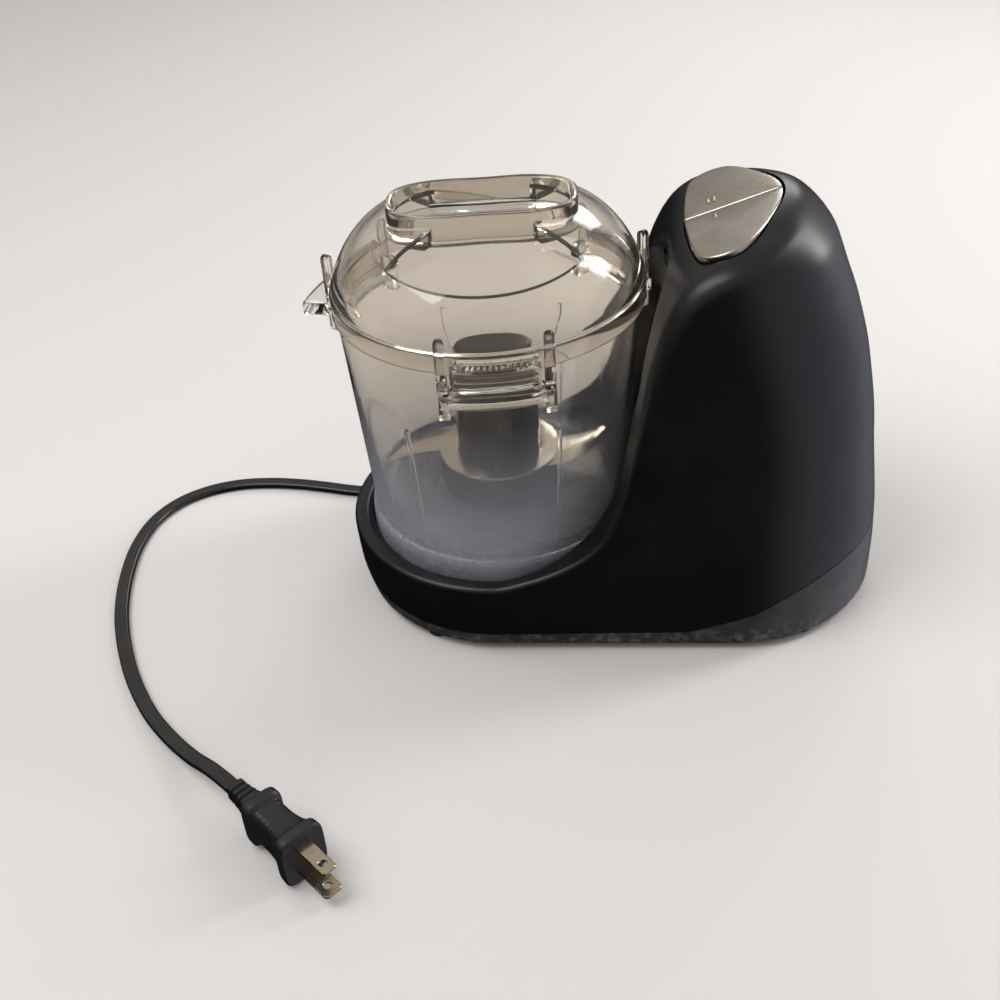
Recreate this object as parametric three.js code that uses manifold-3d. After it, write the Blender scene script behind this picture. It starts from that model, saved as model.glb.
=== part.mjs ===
// A countertop mini food chopper: a clear bowl and lid on a black base, with a motor in the tower beside it.
// Millimetres, +Z up, +X from the bowl towards the tower, -Y towards the user. The table is z = 0.
// Pieces are placed from the bowl's axis, and the whole is shifted so that the origin is under its middle.
import * as THREE from "three";
import { mergeVertices } from "three/addons/utils/BufferGeometryUtils.js";
import Module from "manifold-3d";

const wasm = await Module();
wasm.setup();

// ---- driving sizes ----
const towerX = 105; // bowl axis to the centre of the tower's round back
const towerTopZ = 188.5;
const collarTopZ = 38; // top of the base around the bowl
const baseFloorZ = 3; // underside of the base, held up by the feet
const towerR = 66; // round back of the base and tower
const wall = 2.5; // moulded walls of the base
const gap = 0.3; // between pieces that touch
const slack = 0.6; // between pieces that lift apart

const bowlFootR = 60.4;
const bowlFlare = 6.2; // from the bowl's foot to the outside of the lid's skirt
const rimR = bowlFootR + bowlFlare;
const rimZ = 151; // top of the lid's skirt, where the lid sits on the bowl
const skirtH = 8;
const bowlWall = 2.2;
const bowlFloorZ = 46;
const deckZ = 31; // floor of the recess that the bowl stands in
const lipW = 9.6; // from the bowl's foot to the edge of the base
const collarR = bowlFootR + lipW;

const lidTurn = THREE.MathUtils.degToRad(4.5); // of the handle, and of the lock stations round the rim
const postSpread = 42; // between the two posts of a lock station
const postW = 4.2;
const postLowZ = rimZ - 26;
const stationR = rimR + 6.4; // outside of the lock ledges
const lockRoom = 2.5; // between the lock ledges and the tower
const frontLedgeR = stationR + 10; // the ledge opposite the tower stands out further

const lidTopZ = 184.5;
const handleTopZ = 188;
const handleHalf = 39;
const handleLobe = 21.5;
const handlePinch = 18.8;
const handleWall = 2.6;
const handleFloorZ = 176; // inside the handle's ring
const lidWall = 2.2;
const scoopLowZ = 171.3; // outer edge of the finger scoops, in front of the handle and behind it
const scoopSlope = 0.164;

const shaftR = 4;
const hubR = 18.6; // the blade's hub, round the drive shaft
const hubTopZ = 111;
const hubSkirtR = 28;
const bladeZ = 64.8;
const bladeTipR = bowlFootR - 8.4;
const bladeT = 1.4;
const couplerR = shaftR + 2.4;
const couplerTopZ = 105;
const couplerH = 16;

const beltZ = 18; // middle height of the belt
const beltH = 6.4;
const beltT = 1.6;
const bigPulleyR = 36;
const smallPulleyR = 8;
const pulleyRimT = 0.8;
const bushFlangeT = 2;

const motorShaftR = 3;
const statorR = 29;
const statorLowZ = 52;
const statorHighZ = 84;
const armatureR = 16.2;
const bracketR = 34;

const panelTilt = Math.atan(0.352);
const buttonProud = 3.2;
const buttonGap = 0.9;
const buttonTravel = 2;

const cordW = 6.6;
const cordT = 3.4;
const exitX = 62;
const exitZ = 20;
const reliefL = 24;

// ---- solids ----

// A closed three.js geometry as a solid with its faces pointing out.
function solid(geometry) {
  const loose = geometry.index ? geometry.toNonIndexed() : geometry;
  const bare = new THREE.BufferGeometry();
  bare.setAttribute("position", loose.getAttribute("position"));
  const merged = mergeVertices(bare, 1e-4);
  const p = merged.attributes.position.array;
  const faces = [];
  let volume = 0;
  for (let i = 0; i < merged.index.count; i += 3) {
    const [a, b, c] = [0, 1, 2].map((k) => merged.index.getX(i + k));
    if (a === b || b === c || c === a) continue;
    const [u, v, w] = [a, b, c].map((k) => new THREE.Vector3().fromArray(p, 3 * k));
    volume += u.dot(v.cross(w));
    faces.push([a, b, c]);
  }
  const triVerts = new Uint32Array(faces.flatMap(([a, b, c]) => (volume < 0 ? [a, c, b] : [a, b, c])));
  return new wasm.Manifold(new wasm.Mesh({ numProp: 3, vertProperties: p, triVerts }));
}

const join = (...parts) => parts.reduce((a, b) => a.add(b));
const cut = (body, ...tools) => tools.reduce((a, b) => a.subtract(b), body);

function geometryOf(body) {
  const mesh = body.getMesh();
  const geometry = new THREE.BufferGeometry();
  geometry.setAttribute("position", new THREE.BufferAttribute(mesh.vertProperties, 3));
  geometry.setIndex(new THREE.BufferAttribute(mesh.triVerts, 1));
  return geometry;
}

// Turns a profile of [radius, height] points round the Z axis. It closes on itself or on the axis.
function lathe(profile, segments = 36, x = 0, y = 0) {
  const points = profile.map(([r, z]) => new THREE.Vector2(r, z));
  if (profile[0][0] > 0) points.push(points[0].clone());
  return solid(new THREE.LatheGeometry(points, segments).rotateX(Math.PI / 2).translate(x, y, 0));
}

function disc(r, low, high, segments = 24, x = 0, y = 0) {
  const geometry = new THREE.CylinderGeometry(r, r, high - low, segments);
  return solid(geometry.rotateX(Math.PI / 2).translate(x, y, (low + high) / 2));
}

function tube(outer, inner, low, high, segments = 24) {
  return lathe([[inner, low], [outer, low], [outer, high], [inner, high]], segments);
}

function box(x0, x1, y0, y1, z0, z1) {
  const geometry = new THREE.BoxGeometry(x1 - x0, y1 - y0, z1 - z0);
  return solid(geometry.translate((x0 + x1) / 2, (y0 + y1) / 2, (z0 + z1) / 2));
}

// A flat outline raised from one height to another.
function plate(points, low, high, holes = []) {
  const shape = new THREE.Shape(points.map(([x, y]) => new THREE.Vector2(x, y)));
  for (const hole of holes) shape.holes.push(new THREE.Path(hole.map(([x, y]) => new THREE.Vector2(x, y))));
  const geometry = new THREE.ExtrudeGeometry(shape, { depth: high - low, bevelEnabled: false });
  return solid(geometry.translate(0, 0, low));
}

// Joins rings of equal count into one skin and closes its two ends, which are flat in the given plane.
function loft(rings, flat) {
  const n = rings[0].length;
  const corners = rings.flat();
  const faces = [];
  for (let i = 0; i + 1 < rings.length; i++)
    for (let j = 0; j < n; j++) {
      const a = i * n + j;
      const b = i * n + ((j + 1) % n);
      faces.push([a, b, b + n], [a, b + n, a + n]);
    }
  const last = (rings.length - 1) * n;
  for (const [a, b, c] of THREE.ShapeUtils.triangulateShape(rings[0].map(flat), [])) {
    faces.push(orient(rings[0].map(flat), a, b, c, true));
  }
  for (const [a, b, c] of THREE.ShapeUtils.triangulateShape(rings.at(-1).map(flat), [])) {
    faces.push(orient(rings.at(-1).map(flat), a, b, c, false).map((k) => k + last));
  }
  const geometry = new THREE.BufferGeometry().setFromPoints(corners);
  geometry.setIndex(faces.flat());
  return solid(geometry);
}

// A cap's triangle turned to match the skin: the ring's own direction at the far end,
// reversed at the near end.
function orient(ring, a, b, c, near) {
  const sense = Math.sign(THREE.ShapeUtils.area([ring[a], ring[b], ring[c]]));
  const wanted = Math.sign(THREE.ShapeUtils.area(ring)) * (near ? -1 : 1);
  return sense === wanted ? [a, b, c] : [a, c, b];
}

function arc(r, from, to, steps, x = 0, y = 0) {
  return Array.from({ length: steps + 1 }, (_, i) => {
    const t = THREE.MathUtils.lerp(from, to, i / steps);
    return [x + r * Math.cos(t), y + r * Math.sin(t)];
  });
}

// ---- base: the outer form shared by the upper housing and the cover ----

const heightAt = (u) => collarTopZ + u * (towerTopZ - collarTopZ);

// Level sections: height share above the collar, drop of the bowl-side radius, then the tower-side circle's
// shift and drop.
const levels = [
  [0, 0, 0.5, 1],
  [0.29, 0.5, 1.5, 6.5],
  [0.52, 3.5, -2, 8.5],
  [0.68, 12, -7.5, 9.5],
  [0.785, 14.5, -11.5, 11.5],
  [0.865, 17, -14.5, 14],
  [0.917, 19, -13, 20],
  [0.957, 24, -11, 27],
  [0.983, 30, -2, 39],
  [0.997, 44, 10, 54],
  [1, 52, 13, 60],
];

function ringAt(z, bowlR, centre, backR, sides = 30) {
  const ring = [];
  for (let i = 0; i < sides; i++) {
    const t = ((i + 0.5) / sides) * 2 * Math.PI;
    const back = Math.cos(t) > 0.1;
    const r = back ? backR : bowlR;
    ring.push(new THREE.Vector3((back ? centre : 0) + r * Math.cos(t), r * Math.sin(t), z));
  }
  return ring;
}

// The whole base and tower as one body, all its faces moved in by the inset.
function outerForm(inset, lowZ) {
  const rings = [
    ringAt(lowZ, collarR - 4.5 - inset, towerX, towerR - inset),
    ringAt(baseFloorZ + 4, collarR - 3.2 - inset, towerX, towerR - inset),
    ringAt((baseFloorZ + collarTopZ) / 2, collarR - 0.8 - inset, towerX + 0.5, towerR - inset),
  ];
  for (const [u, bowlDrop, shift, backDrop] of levels) {
    const z = heightAt(u) - inset * u;
    const backR = Math.max(towerR - backDrop - inset, 3);
    rings.push(ringAt(z, Math.max(collarR - bowlDrop - inset, 3), towerX + shift, backR));
  }
  return loft(rings, (p) => new THREE.Vector2(p.x, p.y));
}

// Side profile of the edge that rises from the collar, up the tower's face, to the button panel.
const faceProfile = [
  [0, 0],
  [0.15, 0.024],
  [0.276, 0.06],
  [0.4, 0.116],
  [0.476, 0.183],
  [0.524, 0.259],
  [0.562, 0.372],
  [0.6, 0.5],
  [0.634, 0.62],
  [0.667, 0.7],
  [0.705, 0.775],
  [0.745, 0.85],
  [0.79, 0.9],
].map(([a, u]) => [a * towerX, heightAt(u)]);
const panelStart = faceProfile.at(-1);
const panelLength = 70;
const faceBulge = 4.5; // how far the middle of the tower's face stands forward

// How far the face stands forward of its profile at a place across it and a height.
function bulgeAt(y, z) {
  const share = THREE.MathUtils.smoothstep(z, heightAt(0.2), heightAt(0.7));
  return faceBulge * Math.max(0, 1 - (y / 60) ** 2) * share;
}

function towerFaceX(z, y) {
  const i = faceProfile.findIndex((p) => p[1] > z);
  const [[x0, z0], [x1, z1]] = [faceProfile[i - 1], faceProfile[i]];
  return x0 + ((x1 - x0) * (z - z0)) / (z1 - z0) - bulgeAt(y, z);
}

// Everything above the collar and in front of the tower's face, moved by the inset.
function aboveForm(inset) {
  const far = 260;
  const rings = [];
  const slices = 6;
  for (let i = 0; i <= slices; i++) {
    const y = THREE.MathUtils.lerp(-80, 80, i / slices);
    const ring = [new THREE.Vector3(-far, y, collarTopZ - inset)];
    for (const [x, z] of faceProfile) {
      ring.push(new THREE.Vector3(x + inset - bulgeAt(y, z), y, z - inset));
    }
    const [x, z] = panelStart;
    const run = panelLength * Math.cos(panelTilt);
    ring.push(new THREE.Vector3(x + inset + run, y, z - inset + panelLength * Math.sin(panelTilt)));
    ring.push(new THREE.Vector3(x + run, y, towerTopZ + far));
    ring.push(new THREE.Vector3(-far, y, towerTopZ + far));
    rings.push(ring);
  }
  return loft(rings, (p) => new THREE.Vector2(p.x, p.z));
}

// The round space for the bowl, and for the lid's locks beside the tower.
function bowlPocket(inset) {
  const foot = bowlFootR + slack - inset;
  const middle = bowlFootR + 9 - inset;
  const lock = stationR + lockRoom - inset;
  const far = towerTopZ + 60;
  return lathe([
    [0, deckZ + inset],
    [foot, deckZ + inset],
    [foot, collarTopZ - 3],
    [foot + 2.5, collarTopZ],
    [foot + 5, (3 * collarTopZ + postLowZ) / 4],
    [middle, (3 * collarTopZ + 7 * postLowZ) / 10],
    [lock, postLowZ],
    [lock, far],
    [0, far],
  ]);
}

// Line between the cover and the upper housing, seen from the side.
const partingLine = [
  [-1, 11],
  [0.78, 11],
  [0.88, 13.5],
  [1.04, 19],
  [1.19, 27],
  [1.34, 33],
  [1.48, 36],
  [2.2, 38],
].map(([a, z]) => [a * towerX, z]);

function belowParting(drop) {
  const outline = [...partingLine.map(([x, z]) => [x, z - drop]), [2.2 * towerX, -20], [-towerX, -20]];
  const shape = new THREE.Shape(outline.map(([x, z]) => new THREE.Vector2(x, z)));
  const geometry = new THREE.ExtrudeGeometry(shape, { depth: 300, bevelEnabled: false });
  return solid(geometry.rotateX(Math.PI / 2).translate(0, 150, 0));
}

// ---- materials ----

const look = (color, roughness, metalness = 0, opacity = 1) => ({
  color,
  roughness,
  metalness,
  opacity,
  transparent: opacity < 1,
});
const finishes = {
  housing: look(0x17181c, 0.35),
  cover: look(0x2b2c30, 0.3),
  clear: look(0xcfc6bb, 0.08, 0, 0.35),
  hub: look(0x0e0f12, 0.2),
  steel: look(0xc9c6c1, 0.25, 1),
  button: look(0xb9b3a8, 0.3, 0.6),
  rubber: look(0x1c1c1e, 0.8),
  cable: look(0x121214, 0.4),
  brass: look(0xc8b98a, 0.3, 1),
  copper: look(0xb06a3a, 0.4, 1),
  iron: look(0x5a5c60, 0.5, 1),
  board: look(0x3b5a3a, 0.6),
  nylon: look(0xd9d6cc, 0.5),
  carbon: look(0x2a2a2c, 0.7),
};

const whole = new THREE.Group();
const assembly = new THREE.Group();
whole.add(assembly);

function piece(name, body, finish, group = assembly) {
  const mesh = new THREE.Mesh(geometryOf(body), new THREE.MeshStandardMaterial(finishes[finish]));
  mesh.name = name;
  group.add(mesh);
  return mesh;
}

// ---- screws and feet: places shared by the cover, the housing and the pieces themselves ----

// Four places mirrored about the middle: two round the bowl's axis, two round the tower's.
function aroundBase(fromCollar, collarAngle, fromTower, towerAngle) {
  const a = THREE.MathUtils.degToRad(collarAngle);
  const b = THREE.MathUtils.degToRad(towerAngle);
  const [x0, y0] = [(collarR - fromCollar) * Math.cos(a), (collarR - fromCollar) * Math.sin(a)];
  const [x1, y1] = [towerX + (towerR - fromTower) * Math.cos(b), (towerR - fromTower) * Math.sin(b)];
  return [[x0, y0], [x0, -y0], [x1, y1], [x1, -y1]];
}

const screwSpots = aroundBase(13.4, 148, 17.2, 42.5);
const screwR = 1.6;
const screwHeadR = 3.5;
const screwTopZ = baseFloorZ + 13;
const bossR = 4.6;
const bossLowZ = baseFloorZ + 6;
const footSpots = aroundBase(11, 118, 8.2, 60);
const footR = 5.5;
const footStemR = 2.4;
const ventPitch = 9;
const ventW = 3.2;
const ventL = 32;

const bushR = shaftR + 3;
const bushBossR = bushR + 2.6;
const lowerBushTopZ = baseFloorZ + 8;
const upperBushLowZ = beltZ + 5.5;
const bracketLowZ = 28;
const bracketHighZ = 112;
const bracketT = 3;
const standOff = bracketR - 10;
const quarters = [[-1, 1], [-1, -1], [1, 1], [1, -1]];
const postSpots = quarters.map(([i, j]) => [towerX + i * (standOff - 3), j * standOff]);

function baseCover() {
  const inner = outerForm(wall, baseFloorZ + wall);
  let body = cut(outerForm(0, baseFloorZ), inner).intersect(belowParting(gap));
  const bossTop = bossLowZ - gap;
  const floorTop = baseFloorZ + wall;
  for (const [x, y] of screwSpots) {
    body = join(body, disc(screwHeadR + 3, floorTop - 0.5, bossTop, 16, x, y));
    body = cut(body, disc(screwHeadR + gap, baseFloorZ - 1, floorTop, 12, x, y));
    body = cut(body, disc(screwR + gap, baseFloorZ - 1, bossTop + 1, 8, x, y));
  }
  for (const [x, y] of footSpots) body = cut(body, disc(footStemR + gap, 0, floorTop + 4, 10, x, y));
  for (const [x, y] of postSpots) body = join(body, disc(3, floorTop - 0.5, bracketLowZ - gap, 10, x, y));
  body = join(body, disc(bushBossR, floorTop - 0.5, lowerBushTopZ));
  body = cut(body, disc(bushR + gap, floorTop + gap, lowerBushTopZ + 1));
  for (let i = -2; i <= 2; i++) {
    const x = towerX + i * ventPitch;
    body = cut(body, box(x - ventW / 2, x + ventW / 2, -ventL / 2, ventL / 2, 0, floorTop + 1));
  }
  return body;
}

// A vertical boss with a pilot hole for a cover screw, tied into the housing above it.
function screwBoss(x, y) {
  const onCollar = Math.hypot(x, y) < bowlFootR;
  const top = onCollar ? deckZ - 1 : heightAt(0.14);
  let boss = disc(bossR, bossLowZ, top, 12, x, y);
  if (!onCollar) {
    const turn = Math.atan2(y, x - towerX);
    const reach = Math.hypot(x - towerX, y);
    const rib = new THREE.BoxGeometry(towerR + 1 - reach, 3, top - collarTopZ);
    rib.translate((towerR + 1 + reach) / 2, 0, (top + collarTopZ) / 2).rotateZ(turn).translate(towerX, 0, 0);
    boss = join(boss, solid(rib));
  }
  return cut(boss, disc(screwR + gap, bossLowZ - 1, screwTopZ + 1, 8, x, y));
}

// ---- button panel frame: u up the slope, v across, w out of the panel ----

const panel = new THREE.Group();
const panelMiddle = 17.4 / Math.cos(panelTilt);
panel.position.set(
  panelStart[0] - 0.35 + panelMiddle * Math.cos(panelTilt),
  0,
  panelStart[1] + panelMiddle * Math.sin(panelTilt),
);
panel.rotation.y = -panelTilt;
assembly.add(panel);
panel.updateMatrix();
const inPanel = (body) => solid(geometryOf(body).applyMatrix4(panel.matrix));

// Outline of the two buttons together, as half of a rounded pick.
const pickHalf = [
  [-19.6, 0],
  [-19, 14],
  [-17.6, 27],
  [-14.6, 36.5],
  [-7, 40.4],
  [1, 38.8],
  [8, 31.8],
  [15, 20.4],
  [19.8, 10],
  [21.4, 0],
];

function pickOutline(grow) {
  const halves = [...pickHalf, ...pickHalf.slice(1, -1).reverse().map(([u, v]) => [u, -v])];
  const curve = new THREE.CatmullRomCurve3(halves.map(([u, v]) => new THREE.Vector3(u, v, 0)), true);
  return curve.getPoints(36).slice(0, -1).map((p) => {
    const k = 1 + grow / p.length();
    return [p.x * k, p.y * k];
  });
}

const interlockY = 10;
const interlockZ = heightAt(0.77);
const interlockR = 3.9;
const plungerR = 2.4;
const plungerTravel = 2.5;
const lockFaceX = Math.max(stationR + lockRoom, towerFaceX(interlockZ, interlockY));
const reliefHoleR = 4.6;
const exitWallY = THREE.MathUtils.lerp(collarR - 0.8, towerR, exitX / towerX);

function upperHousing() {
  const shell = cut(outerForm(0, baseFloorZ), aboveForm(0), bowlPocket(0), belowParting(0));
  const hollow = cut(outerForm(wall, baseFloorZ - 1), aboveForm(wall), bowlPocket(-wall));
  let body = cut(shell, hollow);
  body = join(body, disc(bushBossR, upperBushLowZ, deckZ - 0.5));
  for (const [x, y] of screwSpots) body = join(body, screwBoss(x, y).intersect(outerForm(1, baseFloorZ)));
  body = cut(body, disc(bushR + gap, beltZ, deckZ + 1));
  body = cut(body, inPanel(plate(pickOutline(buttonGap), -12, 12)));
  const hole = solid(new THREE.CylinderGeometry(interlockR, interlockR, 12, 12).rotateZ(Math.PI / 2));
  body = cut(body, hole.translate([lockFaceX, interlockY, interlockZ]));
  body = cut(body, box(towerX * 0.62, lockFaceX + 4, 34, 35.4, heightAt(0.7), heightAt(0.76)));
  const exit = solid(new THREE.CylinderGeometry(reliefHoleR, reliefHoleR, 14, 12));
  return cut(body, exit.translate([exitX, exitWallY, exitZ]));
}

// ---- feet, screws, bushes ----

function foot(x, y) {
  const stemTop = baseFloorZ + wall + 1.5;
  return join(disc(footR, 0, baseFloorZ - gap, 16, x, y), disc(footStemR, 1, stemTop, 8, x, y));
}

function coverScrew(x, y) {
  const head = disc(screwHeadR, baseFloorZ + 0.2, baseFloorZ + wall - gap, 12, x, y);
  return join(head, disc(screwR, baseFloorZ + 1, screwTopZ, 8, x, y));
}

// ---- bowl ----

function ledge(inner, outer, low, high, half) {
  const outline = [...arc(outer, -half, half, 8), ...arc(inner, half, -half, 8)];
  return plate(outline, low, high);
}

const turned = (body, angle) => solid(geometryOf(body).rotateZ(angle));
const stations = [32, 152, 272].map((degrees) => lidTurn + THREE.MathUtils.degToRad(degrees));
const skirtInR = rimR - 1.3;
const skirtLowZ = rimZ - skirtH + gap;
const bowlRimR = skirtInR - 0.5;
const bowlRimZ = rimZ - 0.4;
const ledgeTopZ = rimZ - 14;
const ledgeLowZ = ledgeTopZ - 6;
const postTopZ = rimZ + 9;
const postR = [rimR + 0.5, rimR + 4.6];

function lockStation(outer) {
  const half = postSpread / 2 / rimR;
  let body = ledge(bowlRimR - 1, outer, ledgeLowZ, ledgeTopZ, half);
  for (const side of [-1, 1]) {
    const y = (side * postSpread) / 2;
    const x = Math.sqrt(rimR ** 2 - y ** 2) - rimR;
    const [y0, y1] = [y - postW / 2, y + postW / 2];
    const low = box(x + bowlRimR - 1.2, x + postR[1], y0, y1, postLowZ, skirtLowZ - gap);
    const top = box(x + postR[0] + 0.5, x + postR[1], y0, y1, skirtLowZ - 1, postTopZ);
    body = join(body, low, top);
  }
  return body;
}

function bowl() {
  const tubeR = [couplerR + 1.1, couplerR + 3.6];
  const under = bowlFloorZ - bowlWall;
  let body = lathe([
    [tubeR[0], deckZ + 2.5],
    [tubeR[0], couplerTopZ - couplerH - 2.5],
    [tubeR[1], couplerTopZ - couplerH - 2.5],
    [tubeR[1] + 0.4, bowlFloorZ],
    [bowlFootR - 6.4, bowlFloorZ],
    [bowlFootR - 3.7, bowlFloorZ + 2.5],
    [bowlRimR - bowlWall, rimZ - skirtH],
    [bowlRimR - bowlWall, bowlRimZ],
    [bowlRimR, bowlRimZ],
    [bowlRimR, rimZ - skirtH],
    [bowlFootR - 1.6, bowlFloorZ + 4],
    [bowlFootR, under - 1],
    [bowlFootR, deckZ + gap],
    [bowlFootR - bowlWall, deckZ + gap],
    [bowlFootR - bowlWall, under - 1.2],
    [bowlFootR - 5, under],
    [tubeR[1], under],
    [tubeR[1], deckZ + 2.5],
  ]);
  stations.forEach((angle, i) => {
    const outer = i === 1 ? frontLedgeR : stationR;
    const clipped = cut(lockStation(outer), disc(bowlRimR - 1, 0, 300, 36));
    body = join(body, turned(clipped, angle));
  });
  const wallIn = [bowlFootR - 3.7, bowlRimR - bowlWall];
  const ribTopZ = postLowZ - 16;
  const share = (ribTopZ - bowlFloorZ - 2.5) / (rimZ - skirtH - bowlFloorZ - 2.5);
  const ribTopR = THREE.MathUtils.lerp(...wallIn, share);
  for (const degrees of [-122, -60, 62, 118]) {
    const outline = [
      [wallIn[0] - 1.3, bowlFloorZ + 1],
      [wallIn[0] + 0.9, bowlFloorZ + 1],
      [ribTopR + 0.9, ribTopZ],
      [ribTopR - 1.3, ribTopZ],
    ];
    const rib = solid(geometryOf(plate(outline, -1, 1)).rotateX(Math.PI / 2));
    body = join(body, turned(rib, THREE.MathUtils.degToRad(degrees)));
  }
  return body;
}

// ---- lid ----

// The handle's outline: two round lobes with a waist between them.
function handleOutline(inset) {
  const points = [];
  for (let i = 0; i < 28; i++) {
    const t = (i / 28) * 2 * Math.PI;
    const x = (handleHalf - inset) * Math.cos(t);
    const waist = Math.exp(-((x / 17) ** 2));
    const y = (handleLobe - inset - (handleLobe - handlePinch) * waist) * Math.sign(Math.sin(t));
    points.push([x, y * Math.abs(Math.sin(t)) ** 0.62]);
  }
  return points;
}

// The space of the finger scoop in front of the handle, down to a sloping plane, grown by a wall.
function scoop(grow) {
  const reach = rimR - 9.1;
  const half = [
    [20, -14],
    [20, -handleLobe - 0.5],
    [27, 0.5 - reach / 2],
    [0.72 * reach, -0.695 * reach],
    [0.76 * reach, -0.74 * reach],
    [0.76 * reach, -rimR - 4],
  ].map(([x, y]) => [x + grow, y + grow]);
  const outline = [...half.map(([x, y]) => [-x, y]), ...half.reverse()];
  const slab = new THREE.BoxGeometry(4 * reach, 6 * reach, 80).translate(0, 0, 40);
  slab.rotateX(Math.atan(scoopSlope)).translate(0, -reach, scoopLowZ - 1.03 * grow);
  return plate(outline, rimZ, handleTopZ + 40).intersect(solid(slab));
}

function lid() {
  const over = [
    [0, lidTopZ],
    [20, lidTopZ - 0.4],
    [34, lidTopZ - 1.5],
    [rimR - 21.6, lidTopZ - 4.7],
    [rimR - 13.6, lidTopZ - 9.7],
    [rimR - 7.1, lidTopZ - 17.3],
    [rimR - 2.6, rimZ + 7.5],
    [rimR, rimZ + 0.6],
  ];
  const under = [
    [rimR - 3.8, rimZ + 1.5],
    [rimR - 5, rimZ + 7],
    [rimR - 8.9, lidTopZ - 18.6],
    [rimR - 15, lidTopZ - 11.4],
    [rimR - 22.6, lidTopZ - 6.7],
    [33.6, lidTopZ - lidWall - 1.5],
    [19.9, lidTopZ - lidWall - 0.4],
    [0, lidTopZ - lidWall],
  ];
  const skirt = [
    [rimR, skirtLowZ],
    [skirtInR, skirtLowZ],
    [skirtInR, rimZ],
    [rimR - 3.8, rimZ],
  ];
  let body = lathe([...over, ...skirt, ...under]);
  const form = lathe([[0, rimZ], [rimR, rimZ], ...over.slice().reverse()]);
  const column = plate(handleOutline(0), rimZ, handleTopZ + 60);
  const ring = plate(handleOutline(0), handleFloorZ - lidWall, handleTopZ);
  for (const turn of [0, Math.PI]) body = join(body, turned(scoop(lidWall).intersect(form), turn));
  body = join(body, ring);
  for (const turn of [0, Math.PI]) body = cut(body, cut(turned(scoop(0), turn), column));
  body = cut(body, plate(handleOutline(handleWall), handleFloorZ, handleTopZ + 1));
  body = turned(body, lidTurn);
  const half = (postSpread / 2 - postW) / rimR;
  for (const angle of stations) {
    const grip = ledge(skirtInR, stationR - 1.2, ledgeTopZ + gap, rimZ - 1, half);
    body = join(body, turned(grip, angle));
  }
  return body;
}

// ---- blade ----

function bladeHub() {
  const bore = couplerR + 5.6;
  const socketLow = couplerTopZ - couplerH - 0.5;
  const body = lathe([
    [0, hubTopZ],
    [hubR - 1, hubTopZ],
    [hubR, hubTopZ - 1],
    [hubR + 0.3, bladeZ - gap],
    [hubSkirtR, bladeZ - gap],
    [hubSkirtR, bowlFloorZ + 4],
    [hubSkirtR - 2, bowlFloorZ + 4],
    [hubSkirtR - 2, bladeZ - 2.8],
    [bore, bladeZ - 2.8],
    [bore, socketLow],
    [0, socketLow],
  ], 32);
  return cut(body, disc(couplerR + 0.5, socketLow - 1, couplerTopZ + 0.6, 6));
}

// One swept arm: its tip trails, and the cutting edge is the outer curve.
function bladeArm() {
  const root = hubSkirtR - 4;
  const edge = new THREE.QuadraticBezierCurve(
    new THREE.Vector2(root * Math.cos(-0.75), root * Math.sin(-0.75)),
    new THREE.Vector2(bladeTipR * 0.78, -16),
    new THREE.Vector2(bladeTipR * Math.cos(0.2), bladeTipR * Math.sin(0.2)),
  ).getPoints(8);
  const back = new THREE.QuadraticBezierCurve(
    new THREE.Vector2(bladeTipR * Math.cos(0.23) - 2, bladeTipR * Math.sin(0.23) + 1),
    new THREE.Vector2(bladeTipR * 0.72, 5),
    new THREE.Vector2(root * Math.cos(0.2), root * Math.sin(0.2)),
  ).getPoints(8);
  return plate([...edge, ...back].map((p) => [p.x, p.y]), bladeZ, bladeZ + bladeT);
}

function bladePlate() {
  const ring = tube(hubSkirtR - 0.4, hubR + 0.7, bladeZ, bladeZ + bladeT, 32);
  const opening = disc(hubR + 0.7, 0, 200, 32);
  const arms = [0, Math.PI].map((angle) => cut(turned(bladeArm(), angle), opening));
  return join(ring, ...arms);
}

// ---- drive ----

// A flanged pulley. Where a web is given, both faces are recessed between the hub and the rim.
function pulley(r, bore, segments, web = null) {
  const half = beltH / 2 + gap;
  const side = half + pulleyRimT;
  const rim = r + beltT + 0.9;
  const body = lathe([
    [bore, beltZ - side],
    [rim, beltZ - side],
    [rim, beltZ - half],
    [r, beltZ - half],
    [r, beltZ + half],
    [rim, beltZ + half],
    [rim, beltZ + side],
    [bore, beltZ + side],
  ], segments);
  if (!web) return body;
  const lower = tube(r - 4, web.hub, beltZ - side - 1, beltZ - web.half, segments);
  const upper = tube(r - 4, web.hub, beltZ + web.half, beltZ + side + 1, segments);
  return cut(body, lower, upper);
}

// Outline of a belt wrapped round both pulleys at the given distance from them.
function beltOutline(off) {
  const a = bigPulleyR + off;
  const b = smallPulleyR + off;
  const lean = Math.acos((a - b) / towerX);
  return [...arc(a, lean, 2 * Math.PI - lean, 24), ...arc(b, -lean, lean, 6, towerX, 0)];
}

function driveBelt() {
  return plate(beltOutline(gap + beltT), beltZ - beltH / 2, beltZ + beltH / 2, [beltOutline(gap).reverse()]);
}

// ---- motor, upright in the tower ----

const coilSpan = 28.4;
const coilWire = 4.6;
const boltSpots = [45, 225].map((d) => {
  const t = THREE.MathUtils.degToRad(d);
  return [26 * Math.cos(t), 26 * Math.sin(t)];
});
const boltR = 1.5;
const commutatorZ = statorHighZ + 12;
const commutatorR = 8;
const brushW = 6;
const fanZ = statorLowZ - 18;
const fanR = 21.4;
const fanH = 8;
const fanBlades = 7;

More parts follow.
